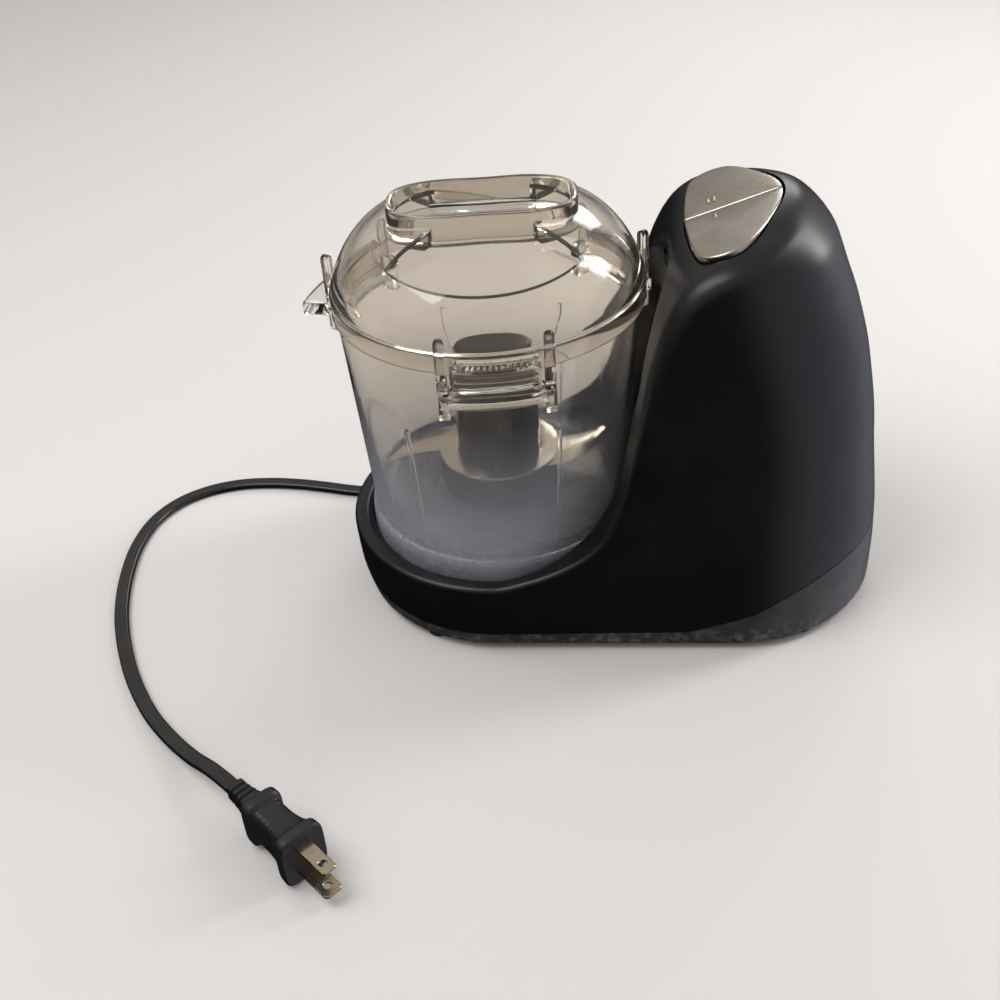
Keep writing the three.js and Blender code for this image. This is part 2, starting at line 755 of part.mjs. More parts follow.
// A field coil: a flat frame of wire round the core's two end faces.
function fieldCoil(side) {
  const [y0, y1] = [17.6 * side, 23.4 * side].sort((p, q) => p - q);
  const half = coilSpan / 2;
  const inner = half - coilWire;
  const shell = box(-half, half, y0, y1, statorLowZ - coilWire, statorHighZ + coilWire);
  return cut(shell, box(-inner, inner, y0 - 1, y1 + 1, statorLowZ, statorHighZ));
}

function statorCore() {
  let body = tube(statorR, armatureR + 1, statorLowZ + gap, statorHighZ - gap, 28);
  for (const side of [-1, 1]) {
    const y = side * 20.5;
    for (const end of [-1, 1]) {
      const x = end * (coilSpan / 2 - coilWire / 2);
      const w = coilWire / 2 + gap;
      body = cut(body, box(x - w, x + w, y - 3.3, y + 3.3, statorLowZ - 1, statorHighZ + 1));
    }
  }
  return cut(body, ...boltHoles());
}

const boltHoles = () => boltSpots.map(([x, y]) => disc(boltR + gap, 0, bracketHighZ + 20, 8, x, y));

// A round plate with the shaft's bearing in its middle and two posts to the core.
function motorBracket(low, postLow, postHigh) {
  const ring = tube(bracketR - 5.5, motorShaftR + 4.5, low, low + bracketT, 20);
  const bearing = tube(motorShaftR + 5, motorShaftR + gap, low - 2, low + bracketT + 1, 16);
  return join(ring, bearing, ...boltSpots.map(([x, y]) => disc(3.2, postLow, postHigh, 8, x, y)));
}

function lowerBracket() {
  const pads = postSpots.map(([x, y]) => disc(4, bracketLowZ, bracketLowZ + bracketT, 10, x - towerX, y));
  return cut(join(motorBracket(bracketLowZ, bracketLowZ, statorLowZ), ...pads), ...boltHoles());
}

function upperBracket() {
  return cut(motorBracket(bracketHighZ, statorHighZ, bracketHighZ + bracketT), ...boltHoles());
}

const slotCount = 8;
const slotTurn = (i) => (i * 2 * Math.PI) / slotCount;

function armatureWinding() {
  const bell = (low) => tube(armatureR - 2, motorShaftR + 2, low, low + 7, 16);
  const bars = Array.from({ length: slotCount }, (_, i) => {
    return turned(box(armatureR - 6, armatureR - 2.6, -1.3, 1.3, statorLowZ, statorHighZ), slotTurn(i));
  });
  return join(bell(statorLowZ - 6), bell(statorHighZ - 1), ...bars);
}

function armatureCore() {
  const body = tube(armatureR, motorShaftR + gap, statorLowZ + 1.3, statorHighZ - 1.3);
  const slots = Array.from({ length: slotCount }, (_, i) => {
    return turned(box(armatureR - 6.3, armatureR + 1, -1.6, 1.6, 0, 200), slotTurn(i));
  });
  return cut(body, ...slots);
}

function coolingFan() {
  const fins = Array.from({ length: fanBlades }, (_, i) => {
    const fin = box(7, fanR - 0.4, -0.7, 0.7, fanZ + 0.5, fanZ + fanH);
    return turned(fin, (i * 2 * Math.PI) / fanBlades + 0.2);
  });
  const hub = tube(8, motorShaftR + gap, fanZ, fanZ + fanH, 16);
  return join(hub, tube(fanR, 7, fanZ, fanZ + 1.4, 20), ...fins);
}

// A box between two distances from the shaft, on the given side of it.
function sideBox(side, near, far, halfWidth, low, high) {
  const [x0, x1] = [near * side, far * side].sort((a, b) => a - b);
  return box(x0, x1, -halfWidth, halfWidth, low, high);
}

function brush(side) {
  return sideBox(side, commutatorR + 0.6, 21, brushW / 2, commutatorZ + 1, commutatorZ + 8);
}

function brushHolder(side) {
  const sleeve = sideBox(side, commutatorR + 3, 25, brushW / 2 + 1.6, commutatorZ - 0.6, bracketHighZ - gap);
  const w = brushW / 2 + gap;
  return cut(sleeve, sideBox(side, commutatorR, 21.4, w, commutatorZ + 1 - gap, commutatorZ + 8 + gap));
}

// ---- springs ----

function coilSpring(r, wire, length, turns) {
  const points = [];
  const perTurn = 8;
  const steps = turns * perTurn;
  for (let i = 0; i <= steps; i++) {
    const t = (i / perTurn) * 2 * Math.PI;
    const z = wire + ((length - 2 * wire) * i) / steps;
    points.push(new THREE.Vector3(r * Math.cos(t), r * Math.sin(t), z));
  }
  const path = new THREE.CatmullRomCurve3(points);
  const round = arc(wire, 0, 2 * Math.PI, 5).slice(0, -1);
  const section = new THREE.Shape(round.map(([x, y]) => new THREE.Vector2(x, y)));
  return solid(new THREE.ExtrudeGeometry(section, { steps, bevelEnabled: false, extrudePath: path }));
}

// ---- buttons and their switches, in the panel's frame ----

const flangeW = -wall - 1.4;
const capLowW = flangeW - 1.2;
const boardW = -16;
const boardT = 1.6;
const onBoardW = boardW + boardT + gap;
const switchTopW = -10.5;
const switchHalf = 6.4;
const springSpot = [-3, 25];
const stemSpot = [2, 13];

function button(side) {
  const far = 80;
  const half = side > 0 ? box(-far, far, 0.2, far, -far, far) : box(-far, far, -far, -0.2, -far, far);
  const cap = plate(pickOutline(0), capLowW, buttonProud).intersect(half);
  const stem = disc(1.6, switchTopW + gap + buttonTravel, flangeW, 10, stemSpot[0], stemSpot[1] * side);
  return join(cap, stem);
}

function addButtons() {
  for (const [name, side] of [["high", 1], ["low", -1]]) {
    piece("button_" + name, button(side), "button", panel);
    const spring = coilSpring(3, 0.5, capLowW - gap - onBoardW, 3);
    const spot = [springSpot[0], springSpot[1] * side, onBoardW];
    piece("button_spring_" + name, spring.translate(spot), "steel", panel);
    const [x, y] = [stemSpot[0], stemSpot[1] * side];
    const micro = box(x - switchHalf, x + switchHalf, y - 3, y + 3, onBoardW, switchTopW);
    piece("switch_" + name, micro, "carbon", panel);
  }
  piece("switch_board", box(-13, 15, -34, 34, boardW, boardW + boardT), "board", panel);
}

// A level rod between two distances in from the lock's face, on the plunger's line.
function levelRod(r, from, to, segments) {
  const rod = new THREE.CylinderGeometry(r, r, to - from, segments).rotateZ(Math.PI / 2);
  return solid(rod.translate(lockFaceX + (from + to) / 2, interlockY, interlockZ));
}

function addInterlock() {
  const flangeR = plungerR + 2.2;
  const behindWallX = towerFaceX(interlockZ + flangeR + wall, interlockY) + wall + gap;
  const collarEnd = Math.max(6.2, behindWallX - lockFaceX + 1.6);
  const springEnd = 19;
  const rod = levelRod(plungerR, 1, springEnd - plungerTravel - 0.5, 12);
  piece("interlock_plunger", join(rod, levelRod(flangeR, collarEnd - 1.6, collarEnd, 16)), "nylon");
  const spring = coilSpring(plungerR + 1, 0.45, springEnd - collarEnd - 2 * gap, 4);
  const along = solid(geometryOf(spring).rotateY(Math.PI / 2));
  const start = lockFaceX + collarEnd + gap;
  piece("interlock_spring", along.translate([start, interlockY, interlockZ]), "steel");
  const x = lockFaceX + springEnd;
  const y = interlockY;
  piece("interlock_switch", box(x, x + 11, y - 5, y + 5, interlockZ - 5, interlockZ + 3), "carbon");
}

// ---- cord and plug ----

const reliefStartY = exitWallY - 6.3;
const reliefCollarY = exitWallY + 1.1;
const reliefEndY = reliefCollarY + reliefL;

function strainRelief() {
  const turnedY = (profile) => {
    const points = profile.map(([r, y]) => new THREE.Vector2(r, y));
    return solid(new THREE.LatheGeometry(points, 14));
  };
  const body = turnedY([
    [0, reliefStartY],
    [6, reliefStartY],
    [6, reliefStartY + 1.8],
    [reliefHoleR - 0.4, reliefStartY + 1.8],
    [reliefHoleR - 0.4, reliefCollarY],
    [6.2, reliefCollarY],
    [5.8, reliefCollarY + 2.6],
    [4.4, reliefEndY],
    [0, reliefEndY],
  ]);
  return body.translate([exitX, 0, exitZ]);
}

// Route of the cord's centreline from the strain relief to the plug, lying on the table.
const cordRoute = [
  [exitX, reliefEndY + gap, exitZ],
  [exitX, reliefEndY + 3, exitZ],
  [exitX, 100, 18.6],
  [60, 107, 14.6],
  [54.5, 114, 9.8],
  [45.5, 118.8, 5.6],
  [34.5, 120.2, 3],
  [22, 118.2, 2],
  [8, 112.6, 2],
  [-6, 104, 2],
  [-20, 93.4, 2],
  [-34, 81.2, 2],
  [-47, 69.6, 2],
  [-58, 60.6, 2],
  [-67, 55, 2],
  [-76, 53, 2],
  [-87, 54.4, 2],
  [-98, 57, 2],
  [-114.5, 60.2, 2],
  [-131, 61.6, 2],
  [-147, 60.4, 2],
  [-162.5, 55, 2],
  [-175.5, 45, 2],
  [-184.5, 29.5, 2],
  [-188, 9, 2],
  [-186.6, -15, 2],
  [-181.6, -40, 2],
  [-173.6, -63, 2],
  [-162, -87, 2],
  [-148, -108.4, 2.4],
  [-134, -124.6, 4.4],
  [-120.6, -138, 7.8],
  [-109.4, -147.6, 11.2],
  [-99.6, -156.3, 12.5],
  [-97.3, -158.4, 12.6],
];
const plugAt = new THREE.Vector3(-63.5, -190, 12.6); // middle of the plug's front face
const plugTurn = Math.atan2(-0.686, 0.727);
const plugBodyL = 29;
const bladeGauge = 12.7; // between the two flat blades
const plugL = 46;

function cordSection(w, t) {
  const r = t / 2;
  const shape = [
    ...arc(r, -Math.PI / 2, Math.PI / 2, 3, w / 2 - r, 0),
    ...arc(r, Math.PI / 2, 1.5 * Math.PI, 3, r - w / 2, 0),
  ];
  return new THREE.Shape(shape.map(([x, y]) => new THREE.Vector2(x, y)));
}

// A path whose section never rolls: its width stays level.
class LevelPath extends THREE.CatmullRomCurve3 {
  computeFrenetFrames(segments) {
    const up = new THREE.Vector3(0, 0, 1);
    const tangents = Array.from({ length: segments + 1 }, (_, i) => this.getTangentAt(i / segments));
    const normals = tangents.map((t) => new THREE.Vector3().crossVectors(up, t).normalize());
    const binormals = tangents.map((t, i) => new THREE.Vector3().crossVectors(t, normals[i]));
    return { tangents, normals, binormals };
  }
}

function powerCord() {
  const path = new LevelPath(cordRoute.map((p) => new THREE.Vector3(...p)), false, "centripetal");
  const options = { steps: 46, bevelEnabled: false, extrudePath: path };
  return solid(new THREE.ExtrudeGeometry(cordSection(cordW, cordT), options));
}

// The plug in its own frame: +X out of its face, standing on its narrow side.
function plugSection(x, w, h) {
  const c = 3;
  const ring = [];
  for (const [sy, sz] of [[1, 1], [-1, 1], [-1, -1], [1, -1]]) {
    const corner = [[w / 2, h / 2 - c], [w / 2 - c, h / 2]];
    const pair = sy * sz > 0 ? corner : [...corner].reverse();
    for (const [y, z] of pair) ring.push(new THREE.Vector3(x, sy * y, sz * z));
  }
  return ring;
}

function plugBody() {
  const sections = [
    [-plugL, 7.6, 8],
    [-plugBodyL - 2, 10.5, 12],
    [-plugBodyL, 16, 22],
    [-plugBodyL + 4.6, 16.4, 22.6],
    [-plugBodyL + 5.6, 12.6, 18],
    [-10, 14, 19.6],
    [-5, 18.6, 23.4],
    [0, 19.6, 24.6],
  ];
  const body = loft(sections.map((s) => plugSection(...s)), (p) => new THREE.Vector2(p.y, p.z));
  const slot = (z, w) => box(-12, 1, -w / 2 - gap, w / 2 + gap, z - 0.75 - gap, z + 0.75 + gap);
  return cut(body, slot(bladeGauge / 2, 6.35), slot(-bladeGauge / 2, 7.9));
}

function plugBlade(z, w) {
  const flat = box(-11.5, 17.2, -w / 2, w / 2, z - 0.75, z + 0.75);
  return cut(flat, disc(1.6, z - 3, z + 3, 16, 12.6, 0));
}

const plug = new THREE.Group();
plug.position.copy(plugAt);
plug.rotation.z = plugTurn;
assembly.add(plug);

// ---- the assembly ----

piece("upper_housing", upperHousing(), "housing");
piece("base_cover", baseCover(), "cover");
const corner = ["rear_left", "front_left", "rear_right", "front_right"];
footSpots.forEach(([x, y], i) => piece("foot_" + corner[i], foot(x, y), "rubber"));
screwSpots.forEach(([x, y], i) => piece("cover_screw_" + corner[i], coverScrew(x, y), "steel"));

piece("bowl", bowl(), "clear");
piece("lid", lid(), "clear");
piece("blade_hub", bladeHub(), "hub");
piece("blade_plate", bladePlate(), "steel");

const shaftLowZ = baseFloorZ + wall + 0.8;
const shaftTopZ = couplerTopZ - 3;
piece("drive_shaft", disc(shaftR, shaftLowZ, shaftTopZ), "steel");
const couplerBore = disc(shaftR + gap, 0, shaftTopZ + 2 * gap);
piece("drive_coupling", cut(disc(couplerR, couplerTopZ - couplerH, couplerTopZ, 6), couplerBore), "nylon");
piece("drive_pulley", pulley(bigPulleyR, shaftR + gap, 22, { hub: shaftR + 5, half: 2 }), "nylon");
piece("drive_bush_lower", tube(bushR, shaftR + gap, baseFloorZ + wall + 2 * gap, lowerBushTopZ), "brass");
const bushFlange = tube(bushR + 1.6, shaftR + gap, deckZ + gap, deckZ + bushFlangeT);
piece("drive_bush_upper", join(tube(bushR, shaftR + gap, upperBushLowZ, deckZ + 1), bushFlange), "brass");
piece("drive_belt", driveBelt(), "rubber");

const motor = new THREE.Group();
motor.position.x = towerX;
assembly.add(motor);
piece("motor_shaft", disc(motorShaftR, beltZ - 8, bracketHighZ + 12, 16), "steel", motor);
piece("motor_pulley", pulley(smallPulleyR, motorShaftR + gap, 16), "steel", motor);
piece("cooling_fan", coolingFan(), "nylon", motor);
piece("armature_core", armatureCore(), "iron", motor);
piece("armature_winding", armatureWinding(), "copper", motor);
piece("commutator", tube(commutatorR, motorShaftR + gap, commutatorZ, commutatorZ + 9, 20), "copper", motor);
piece("stator_core", statorCore(), "iron", motor);
piece("motor_bracket_lower", lowerBracket(), "steel", motor);
piece("motor_bracket_upper", upperBracket(), "steel", motor);
for (const [name, side] of [["left", -1], ["right", 1]]) {
  piece("field_coil_" + name, fieldCoil(side), "copper", motor);
  piece("carbon_brush_" + name, brush(side), "carbon", motor);
  piece("brush_holder_" + name, brushHolder(side), "nylon", motor);
}
boltSpots.forEach(([x, y], i) => {
  const head = disc(2.8, bracketHighZ + bracketT + gap, bracketHighZ + bracketT + 3, 10, x, y);
  const bolt = join(head, disc(boltR, bracketLowZ - 1, bracketHighZ + bracketT + 1, 8, x, y));
  piece("motor_bolt_" + ["rear", "front"][i], bolt, "steel", motor);
});

addButtons();
addInterlock();

piece("strain_relief", strainRelief(), "rubber");
piece("power_cord", powerCord(), "cable");
piece("plug_body", plugBody(), "cable", plug);
piece("plug_blade_narrow", plugBlade(bladeGauge / 2, 6.35), "brass", plug);
piece("plug_blade_wide", plugBlade(-bladeGauge / 2, 7.9), "brass", plug);

// The origin is under the middle of the object, without its cord: along it from the bowl's long ledge to the
// tower's back, and across it from the lock ledge at the user's side to the base's far edge.
assembly.position.x = (frontLedgeR - (towerX + towerR)) / 2;
assembly.position.y = (stationR - collarR) / 2;

export default whole;
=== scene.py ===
import math
import bpy
import numpy as np
from mathutils import Matrix, Vector


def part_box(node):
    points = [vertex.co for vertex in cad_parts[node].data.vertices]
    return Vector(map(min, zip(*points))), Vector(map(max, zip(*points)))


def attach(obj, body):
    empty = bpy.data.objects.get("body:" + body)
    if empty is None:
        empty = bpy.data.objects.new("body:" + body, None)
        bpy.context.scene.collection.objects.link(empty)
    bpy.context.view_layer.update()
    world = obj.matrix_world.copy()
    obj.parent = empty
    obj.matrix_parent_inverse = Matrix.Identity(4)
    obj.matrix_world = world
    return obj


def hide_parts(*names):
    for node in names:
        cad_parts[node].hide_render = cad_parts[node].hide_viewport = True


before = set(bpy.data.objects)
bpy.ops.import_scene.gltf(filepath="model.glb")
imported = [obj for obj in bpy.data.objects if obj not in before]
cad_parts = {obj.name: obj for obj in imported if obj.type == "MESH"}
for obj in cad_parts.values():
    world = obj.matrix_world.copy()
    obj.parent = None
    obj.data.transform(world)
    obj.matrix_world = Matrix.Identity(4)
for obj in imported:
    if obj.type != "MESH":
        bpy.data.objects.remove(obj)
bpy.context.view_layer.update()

tau = 2 * math.pi
scene = bpy.context.scene
hubLow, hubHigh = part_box("blade_hub")
bowlAxisX = (hubLow.x + hubHigh.x) / 2
bowlAxisY = (hubLow.y + hubHigh.y) / 2
towerX = 105.0  # the motor's axis


# Shapes are in millimetres from the bowl's axis, and go into meshes in the frame's metres.
def toMetres(points):
    out = np.array(points, float) / 1000
    out[..., 0] += bowlAxisX
    out[..., 1] += bowlAxisY
    return out


view = dict(place=(0.0077, -0.4906, 0.3998), heading=6.186, pitch=36.42, roll=-4.31, lens=46.8)
stageLook = dict(floor=(0.77, 0.752, 0.748), sky=(0.62, 0.59, 0.55), low=(0.012, 0.012, 0.014), strength=0.85,
                 glow=(0.66, 0.68, 0.74))
softboxes = {
    "keyLight": dict(place=(-0.55, -0.25, 1.1), aim=(0.02, 0, 0.08), size=(0.7, 0.7), power=6.2),
    "rearStrip": dict(place=(0.95, 0.35, 0.55), aim=(0.1, 0, 0.1), size=(0.25, 0.9), power=6),
    "topBox": dict(place=(0.3, 1.1, 0.72), aim=(0.04, 0, 0.12), size=(0.6, 0.25), power=3),
}


# Turned about the vertical, tipped down, then rolled about the line of sight.
def makeCamera():
    camera = bpy.data.objects.new("camera", bpy.data.cameras.new("camera"))
    scene.collection.objects.link(camera)
    camera.data.lens = view["lens"]
    camera.data.sensor_width = 36
    turn = Matrix.Rotation(math.radians(view["heading"]), 4, "Z")
    tip = Matrix.Rotation(math.radians(90 - view["pitch"]), 4, "X")
    roll = Matrix.Rotation(math.radians(view["roll"]), 4, "Z")
    camera.matrix_world = Matrix.Translation(view["place"]) @ turn @ tip @ roll
    scene.camera = camera


def makeStage():
    bpy.ops.mesh.primitive_plane_add(size=12)
    floor = bpy.context.object
    floor.name = "floor"
    paint = shade(Paint("paleFloor"), stageLook["floor"], 0.9)
    paint.shader.inputs["Specular IOR Level"].default_value = 0.1
    floor.data.materials.append(paint.material)
    floor.visible_glossy = False  # keeps the black side from mirroring the pale floor
    world = bpy.data.worlds.new("studio")
    world.use_nodes = True
    scene.world = world
    start = Wire(world.node_tree)
    toSky = start.node("ShaderNodeTexCoord", output="Generated")
    up = start.node("ShaderNodeSeparateXYZ", None, {0: toSky}, output=2)
    right = start.node("ShaderNodeSeparateXYZ", None, {0: toSky}, output=0)
    rise = start.node("ShaderNodeMapRange", None, {"Value": up, "From Min": 0.02, "From Max": 0.4})
    side = start.node("ShaderNodeMapRange", None, {"Value": right, "From Min": 0.3, "From Max": 0.75})
    ends = {0: side, 6: (*stageLook["low"], 1), 7: (*stageLook["glow"], 1)}
    low = start.node("ShaderNodeMix", dict(data_type="RGBA"), ends, output=2)
    ends = {0: rise, 6: low, 7: (*stageLook["sky"], 1)}
    colour = start.node("ShaderNodeMix", dict(data_type="RGBA"), ends, output=2)
    sky = world.node_tree.nodes["Background"]
    world.node_tree.links.new(colour.socket, sky.inputs["Color"])
    sky.inputs["Strength"].default_value = stageLook["strength"]
    for name, box in softboxes.items():
        light = bpy.data.objects.new(name, bpy.data.lights.new(name, "AREA"))
        scene.collection.objects.link(light)
        light.data.shape = "RECTANGLE"
        light.data.size, light.data.size_y = box["size"]
        light.data.energy = box["power"]
        light.location = box["place"]
        look = Vector(box["aim"]) - Vector(box["place"])
        light.rotation_euler = look.to_track_quat("-Z", "Y").to_euler()
    scene.view_settings.view_transform = "Standard"


# A node socket that can be used in sums: each operator adds one Math node.
class Wire:
    def __init__(self, tree, socket=None):
        self.tree = tree
        self.socket = socket

    def node(self, kind, settings=None, inputs=None, output=0):
        made = self.tree.nodes.new(kind)
        for key, value in (settings or {}).items():
            setattr(made, key, value)
        for key, value in (inputs or {}).items():
            if isinstance(value, Wire):
                self.tree.links.new(value.socket, made.inputs[key])
            else:
                made.inputs[key].default_value = value
        return Wire(self.tree, made.outputs[output])

    def maths(self, operation, a, b=0.0, clamp=False):
        return self.node("ShaderNodeMath", dict(operation=operation, use_clamp=clamp), {0: a, 1: b})

    def __add__(self, other):
        return self.maths("ADD", self, other)

    def __radd__(self, other):
        return self.maths("ADD", other, self)

    def __sub__(self, other):
        return self.maths("SUBTRACT", self, other)

    def __rsub__(self, other):
        return self.maths("SUBTRACT", other, self)

    def __mul__(self, other):
        return self.maths("MULTIPLY", self, other)

    def __rmul__(self, other):
        return self.maths("MULTIPLY", other, self)

    def clamped(self):
        return self.maths("ADD", self, 0.0, clamp=True)


# A material with its Principled shader and the wires that its pattern starts from.
class Paint:
    def __init__(self, name):
        self.material = bpy.data.materials.new(name)
        self.material.use_nodes = True
        self.tree = self.material.node_tree
        self.shader = self.tree.nodes["Principled BSDF"]
        self.start = Wire(self.tree)
        self.place = self.start.node("ShaderNodeTexCoord", output="Object")

    def noise(self, scale, detail=3.0, rough=0.5, stretch=(1, 1, 1)):
        place = self.place
        if stretch != (1, 1, 1):
            place = self.start.node("ShaderNodeMapping", None, {"Vector": place, "Scale": stretch})
        inputs = {"Vector": place, "Scale": scale, "Detail": detail, "Roughness": rough}
        return self.start.node("ShaderNodeTexNoise", None, inputs)

    def axis(self, index):
        return self.start.node("ShaderNodeSeparateXYZ", None, {0: self.place}, output=index)

    def ramp(self, value, low, high):
        inputs = {"Value": value, "From Min": low, "From Max": high}
        return self.start.node("ShaderNodeMapRange", None, inputs)

    def mix(self, factor, a, b):
        inputs = {0: factor, 6: (*a, 1), 7: (*b, 1)}
        return self.start.node("ShaderNodeMix", dict(data_type="RGBA"), inputs, output=2)

    def feed(self, name, wire):
        self.tree.links.new(wire.socket, self.shader.inputs[name])

    def bump(self, height, strength, distance=0.0004):
        inputs = {"Height": height, "Strength": strength, "Distance": distance}
        self.feed("Normal", self.start.node("ShaderNodeBump", None, inputs))


def shade(paint, base, rough, metal=0.0):
    paint.shader.inputs["Base Color"].default_value = (*base, 1)
    paint.shader.inputs["Roughness"].default_value = rough
    paint.shader.inputs["Metallic"].default_value = metal
    return paint


# Moulded plastic: a fine grain in the surface, faint smears in its gloss and thin scratches.
def mouldedPlastic(name, dark, light, rough, grain=1400, coat=0.0, gleam=0.5):
    paint = shade(Paint(name), dark, rough)
    paint.shader.inputs["Specular IOR Level"].default_value = gleam
    smear = paint.noise(38, 4, 0.6)
    fine = paint.noise(grain, 2, 0.5)
    lines = paint.ramp(paint.noise(160, 5, 0.7, stretch=(1, 0.06, 0.4)), 0.62, 0.74)
    tone = (paint.ramp(smear, 0.35, 0.75) * 0.6 + lines * 0.5).clamped()
    paint.feed("Base Color", paint.mix(tone, dark, light))
    paint.feed("Roughness", (rough + (smear - 0.5) * 0.12 + lines * 0.06).clamped())
    paint.bump(fine + lines * 0.6, 0.12, 0.00012)
    paint.shader.inputs["Coat Weight"].default_value = coat
    paint.shader.inputs["Coat Roughness"].default_value = 0.12
    return paint.material


# The cover's plastic: as the housing's, with chipped, paler patches that grow towards its bottom edge: partly
# wear, and partly a painted sheen along the bottom.
def coverPlastic(look):
    paint = shade(Paint("coverCharcoal"), look["base"], look["rough"])
    # Painted sheen and wear: the pale chip colour is laid on more thickly towards the bottom edge, standing
    # in for light caught along the cover's foot.
    low = paint.ramp(paint.axis(2), 0.016, 0.003)
    chips = paint.ramp(paint.noise(210, 6, 0.7), 0.5, 0.62)
    wearAndSheen = (low * chips * 0.75).clamped()
    smear = paint.noise(45, 4, 0.6)
    tone = (wearAndSheen + paint.ramp(smear, 0.4, 0.8) * 0.3).clamped()
    paint.feed("Base Color", paint.mix(tone, look["base"], look["wornAndSheen"]))
    paint.feed("Roughness", (look["rough"] + wearAndSheen * 0.25 + (smear - 0.5) * 0.14).clamped())
    paint.bump(paint.noise(1500, 2) + chips * low, 0.16, 0.00015)
    return paint.material


# Clear plastic: tinted glass with fine scratches, and over it a veil of diffuse haze that thickens
# downwards.
def clearPlastic(look):
    paint = shade(Paint("clearSmoky"), look["tint"], look["rough"])
    paint.shader.inputs["Transmission Weight"].default_value = 1.0
    paint.shader.inputs["IOR"].default_value = 1.46
    low = paint.ramp(paint.axis(2), look["hazeTop"], look["hazeLow"])
    scuff = paint.ramp(paint.noise(60, 6, 0.7), 0.38, 0.72)
    lines = paint.ramp(paint.noise(240, 5, 0.75, stretch=(1, 1, 0.05)), 0.6, 0.72)
    paint.feed("Roughness", (look["rough"] + scuff * 0.04 + lines * 0.12).clamped())
    paint.bump(paint.noise(26, 2, 0.4) + lines * 0.15, 0.1, 0.0005)
    grown = low * (0.85 + scuff * 0.22) * (look["most"] - look["least"])
    veil = (look["least"] + grown + lines * 0.03).clamped()
    milky = {"Base Color": (*look["milky"], 1), "Roughness": 0.6}
    haze = paint.start.node("ShaderNodeBsdfPrincipled", None, milky)
    glass = Wire(paint.tree, paint.shader.outputs[0])
    blend = paint.start.node("ShaderNodeMixShader", None, {0: veil, 1: glass, 2: haze})
    paint.tree.links.new(blend.socket, paint.tree.nodes["Material Output"].inputs["Surface"])
    return paint.material


# Metal: two tones in soft clouds, brushed along the axis whose grain is small.
def metalPaint(name, base, tone, rough, grain=(1, 1, 1), mottled=30):
    paint = shade(Paint(name), base, rough, 1.0)
    cloud = paint.noise(mottled, 5, 0.65)
    brushed = paint.noise(420, 3, 0.6, stretch=grain)
    paint.feed("Base Color", paint.mix(paint.ramp(cloud, 0.3, 0.72), base, tone))
    paint.feed("Roughness", (rough + (cloud - 0.5) * 0.22 + (brushed - 0.5) * 0.14).clamped())
    paint.bump(brushed, 0.05, 0.00015)
    return paint.material


plastics = {
    "housing": dict(name="satinBlack", dark=(0.0035, 0.004, 0.006), light=(0.008, 0.0085, 0.011), rough=0.33,
                    gleam=0.42),
    "hub": dict(name="glossBlack", dark=(0.006, 0.0065, 0.009), light=(0.03, 0.031, 0.04), rough=0.16,
                coat=0.3),
    "rubber": dict(name="mattRubber", dark=(0.012, 0.012, 0.013), light=(0.035, 0.035, 0.036), rough=0.62,
                   grain=900),
    "vinyl": dict(name="glossVinyl", dark=(0.006, 0.006, 0.007), light=(0.02, 0.02, 0.022), rough=0.26,
                  grain=700, coat=0.2),
    "plugVinyl": dict(name="plugVinyl", dark=(0.008, 0.009, 0.012), light=(0.03, 0.032, 0.04), rough=0.38,
                      grain=900),
    "nylon": dict(name="naturalNylon", dark=(0.55, 0.53, 0.46), light=(0.68, 0.66, 0.6), rough=0.45),
    "carbon": dict(name="pressedCarbon", dark=(0.02, 0.02, 0.022), light=(0.05, 0.05, 0.052), rough=0.7),
    "switch": dict(name="switchCase", dark=(0.015, 0.015, 0.017), light=(0.04, 0.04, 0.042), rough=0.4),
    "board": dict(name="circuitBoard", dark=(0.02, 0.09, 0.035), light=(0.05, 0.15, 0.07), rough=0.4),
}
# The second colour is the pale colour of chips, and also a painted sheen along the cover's bottom edge.
coverLook = dict(base=(0.024, 0.024, 0.027), wornAndSheen=(0.16, 0.16, 0.165), rough=0.3)
clears = {
    "clear": dict(tint=(0.86, 0.82, 0.765), milky=(0.64, 0.69, 0.82), rough=0.03, hazeTop=0.115, hazeLow=0.05,
                  most=0.32, least=0.01),
    "lid": dict(tint=(0.87, 0.825, 0.76), milky=(0.7, 0.66, 0.6), rough=0.025, hazeTop=0.1, hazeLow=0.09,
                most=0.1, least=0.03),
}
metals = {
    "blade": dict(name="bladeSteel", base=(0.78, 0.74, 0.66), tone=(0.62, 0.6, 0.56), rough=0.2,
                  grain=(1, 0.05, 1)),
    "button": dict(name="champagneSilver", base=(0.6, 0.56, 0.51), tone=(0.42, 0.37, 0.32), rough=0.24,
                   mottled=48),
    "nickel": dict(name="nickelBlades", base=(0.62, 0.54, 0.42), tone=(0.5, 0.38, 0.24), rough=0.24,
                   mottled=160),
    "steel": dict(name="turnedSteel", base=(0.5, 0.5, 0.51), tone=(0.38, 0.38, 0.39), rough=0.3,
                  grain=(1, 1, 0.1)),
    "bronze": dict(name="sinteredBronze", base=(0.48, 0.32, 0.16), tone=(0.36, 0.22, 0.1), rough=0.4),
    "copper": dict(name="copperWire", base=(0.7, 0.3, 0.14), tone=(0.5, 0.2, 0.08), rough=0.32,
                   grain=(0.1, 1, 1)),
    "iron": dict(name="coreIron", base=(0.22, 0.22, 0.23), tone=(0.15, 0.15, 0.16), rough=0.45,
                 grain=(0.05, 0.05, 6)),
}


def makeFinishes():
    made = {key: mouldedPlastic(**look) for key, look in plastics.items()}
    made["cover"] = coverPlastic(coverLook)
    made |= {key: clearPlastic(look) for key, look in clears.items()}
    made |= {key: metalPaint(**look) for key, look in metals.items()}
    return made


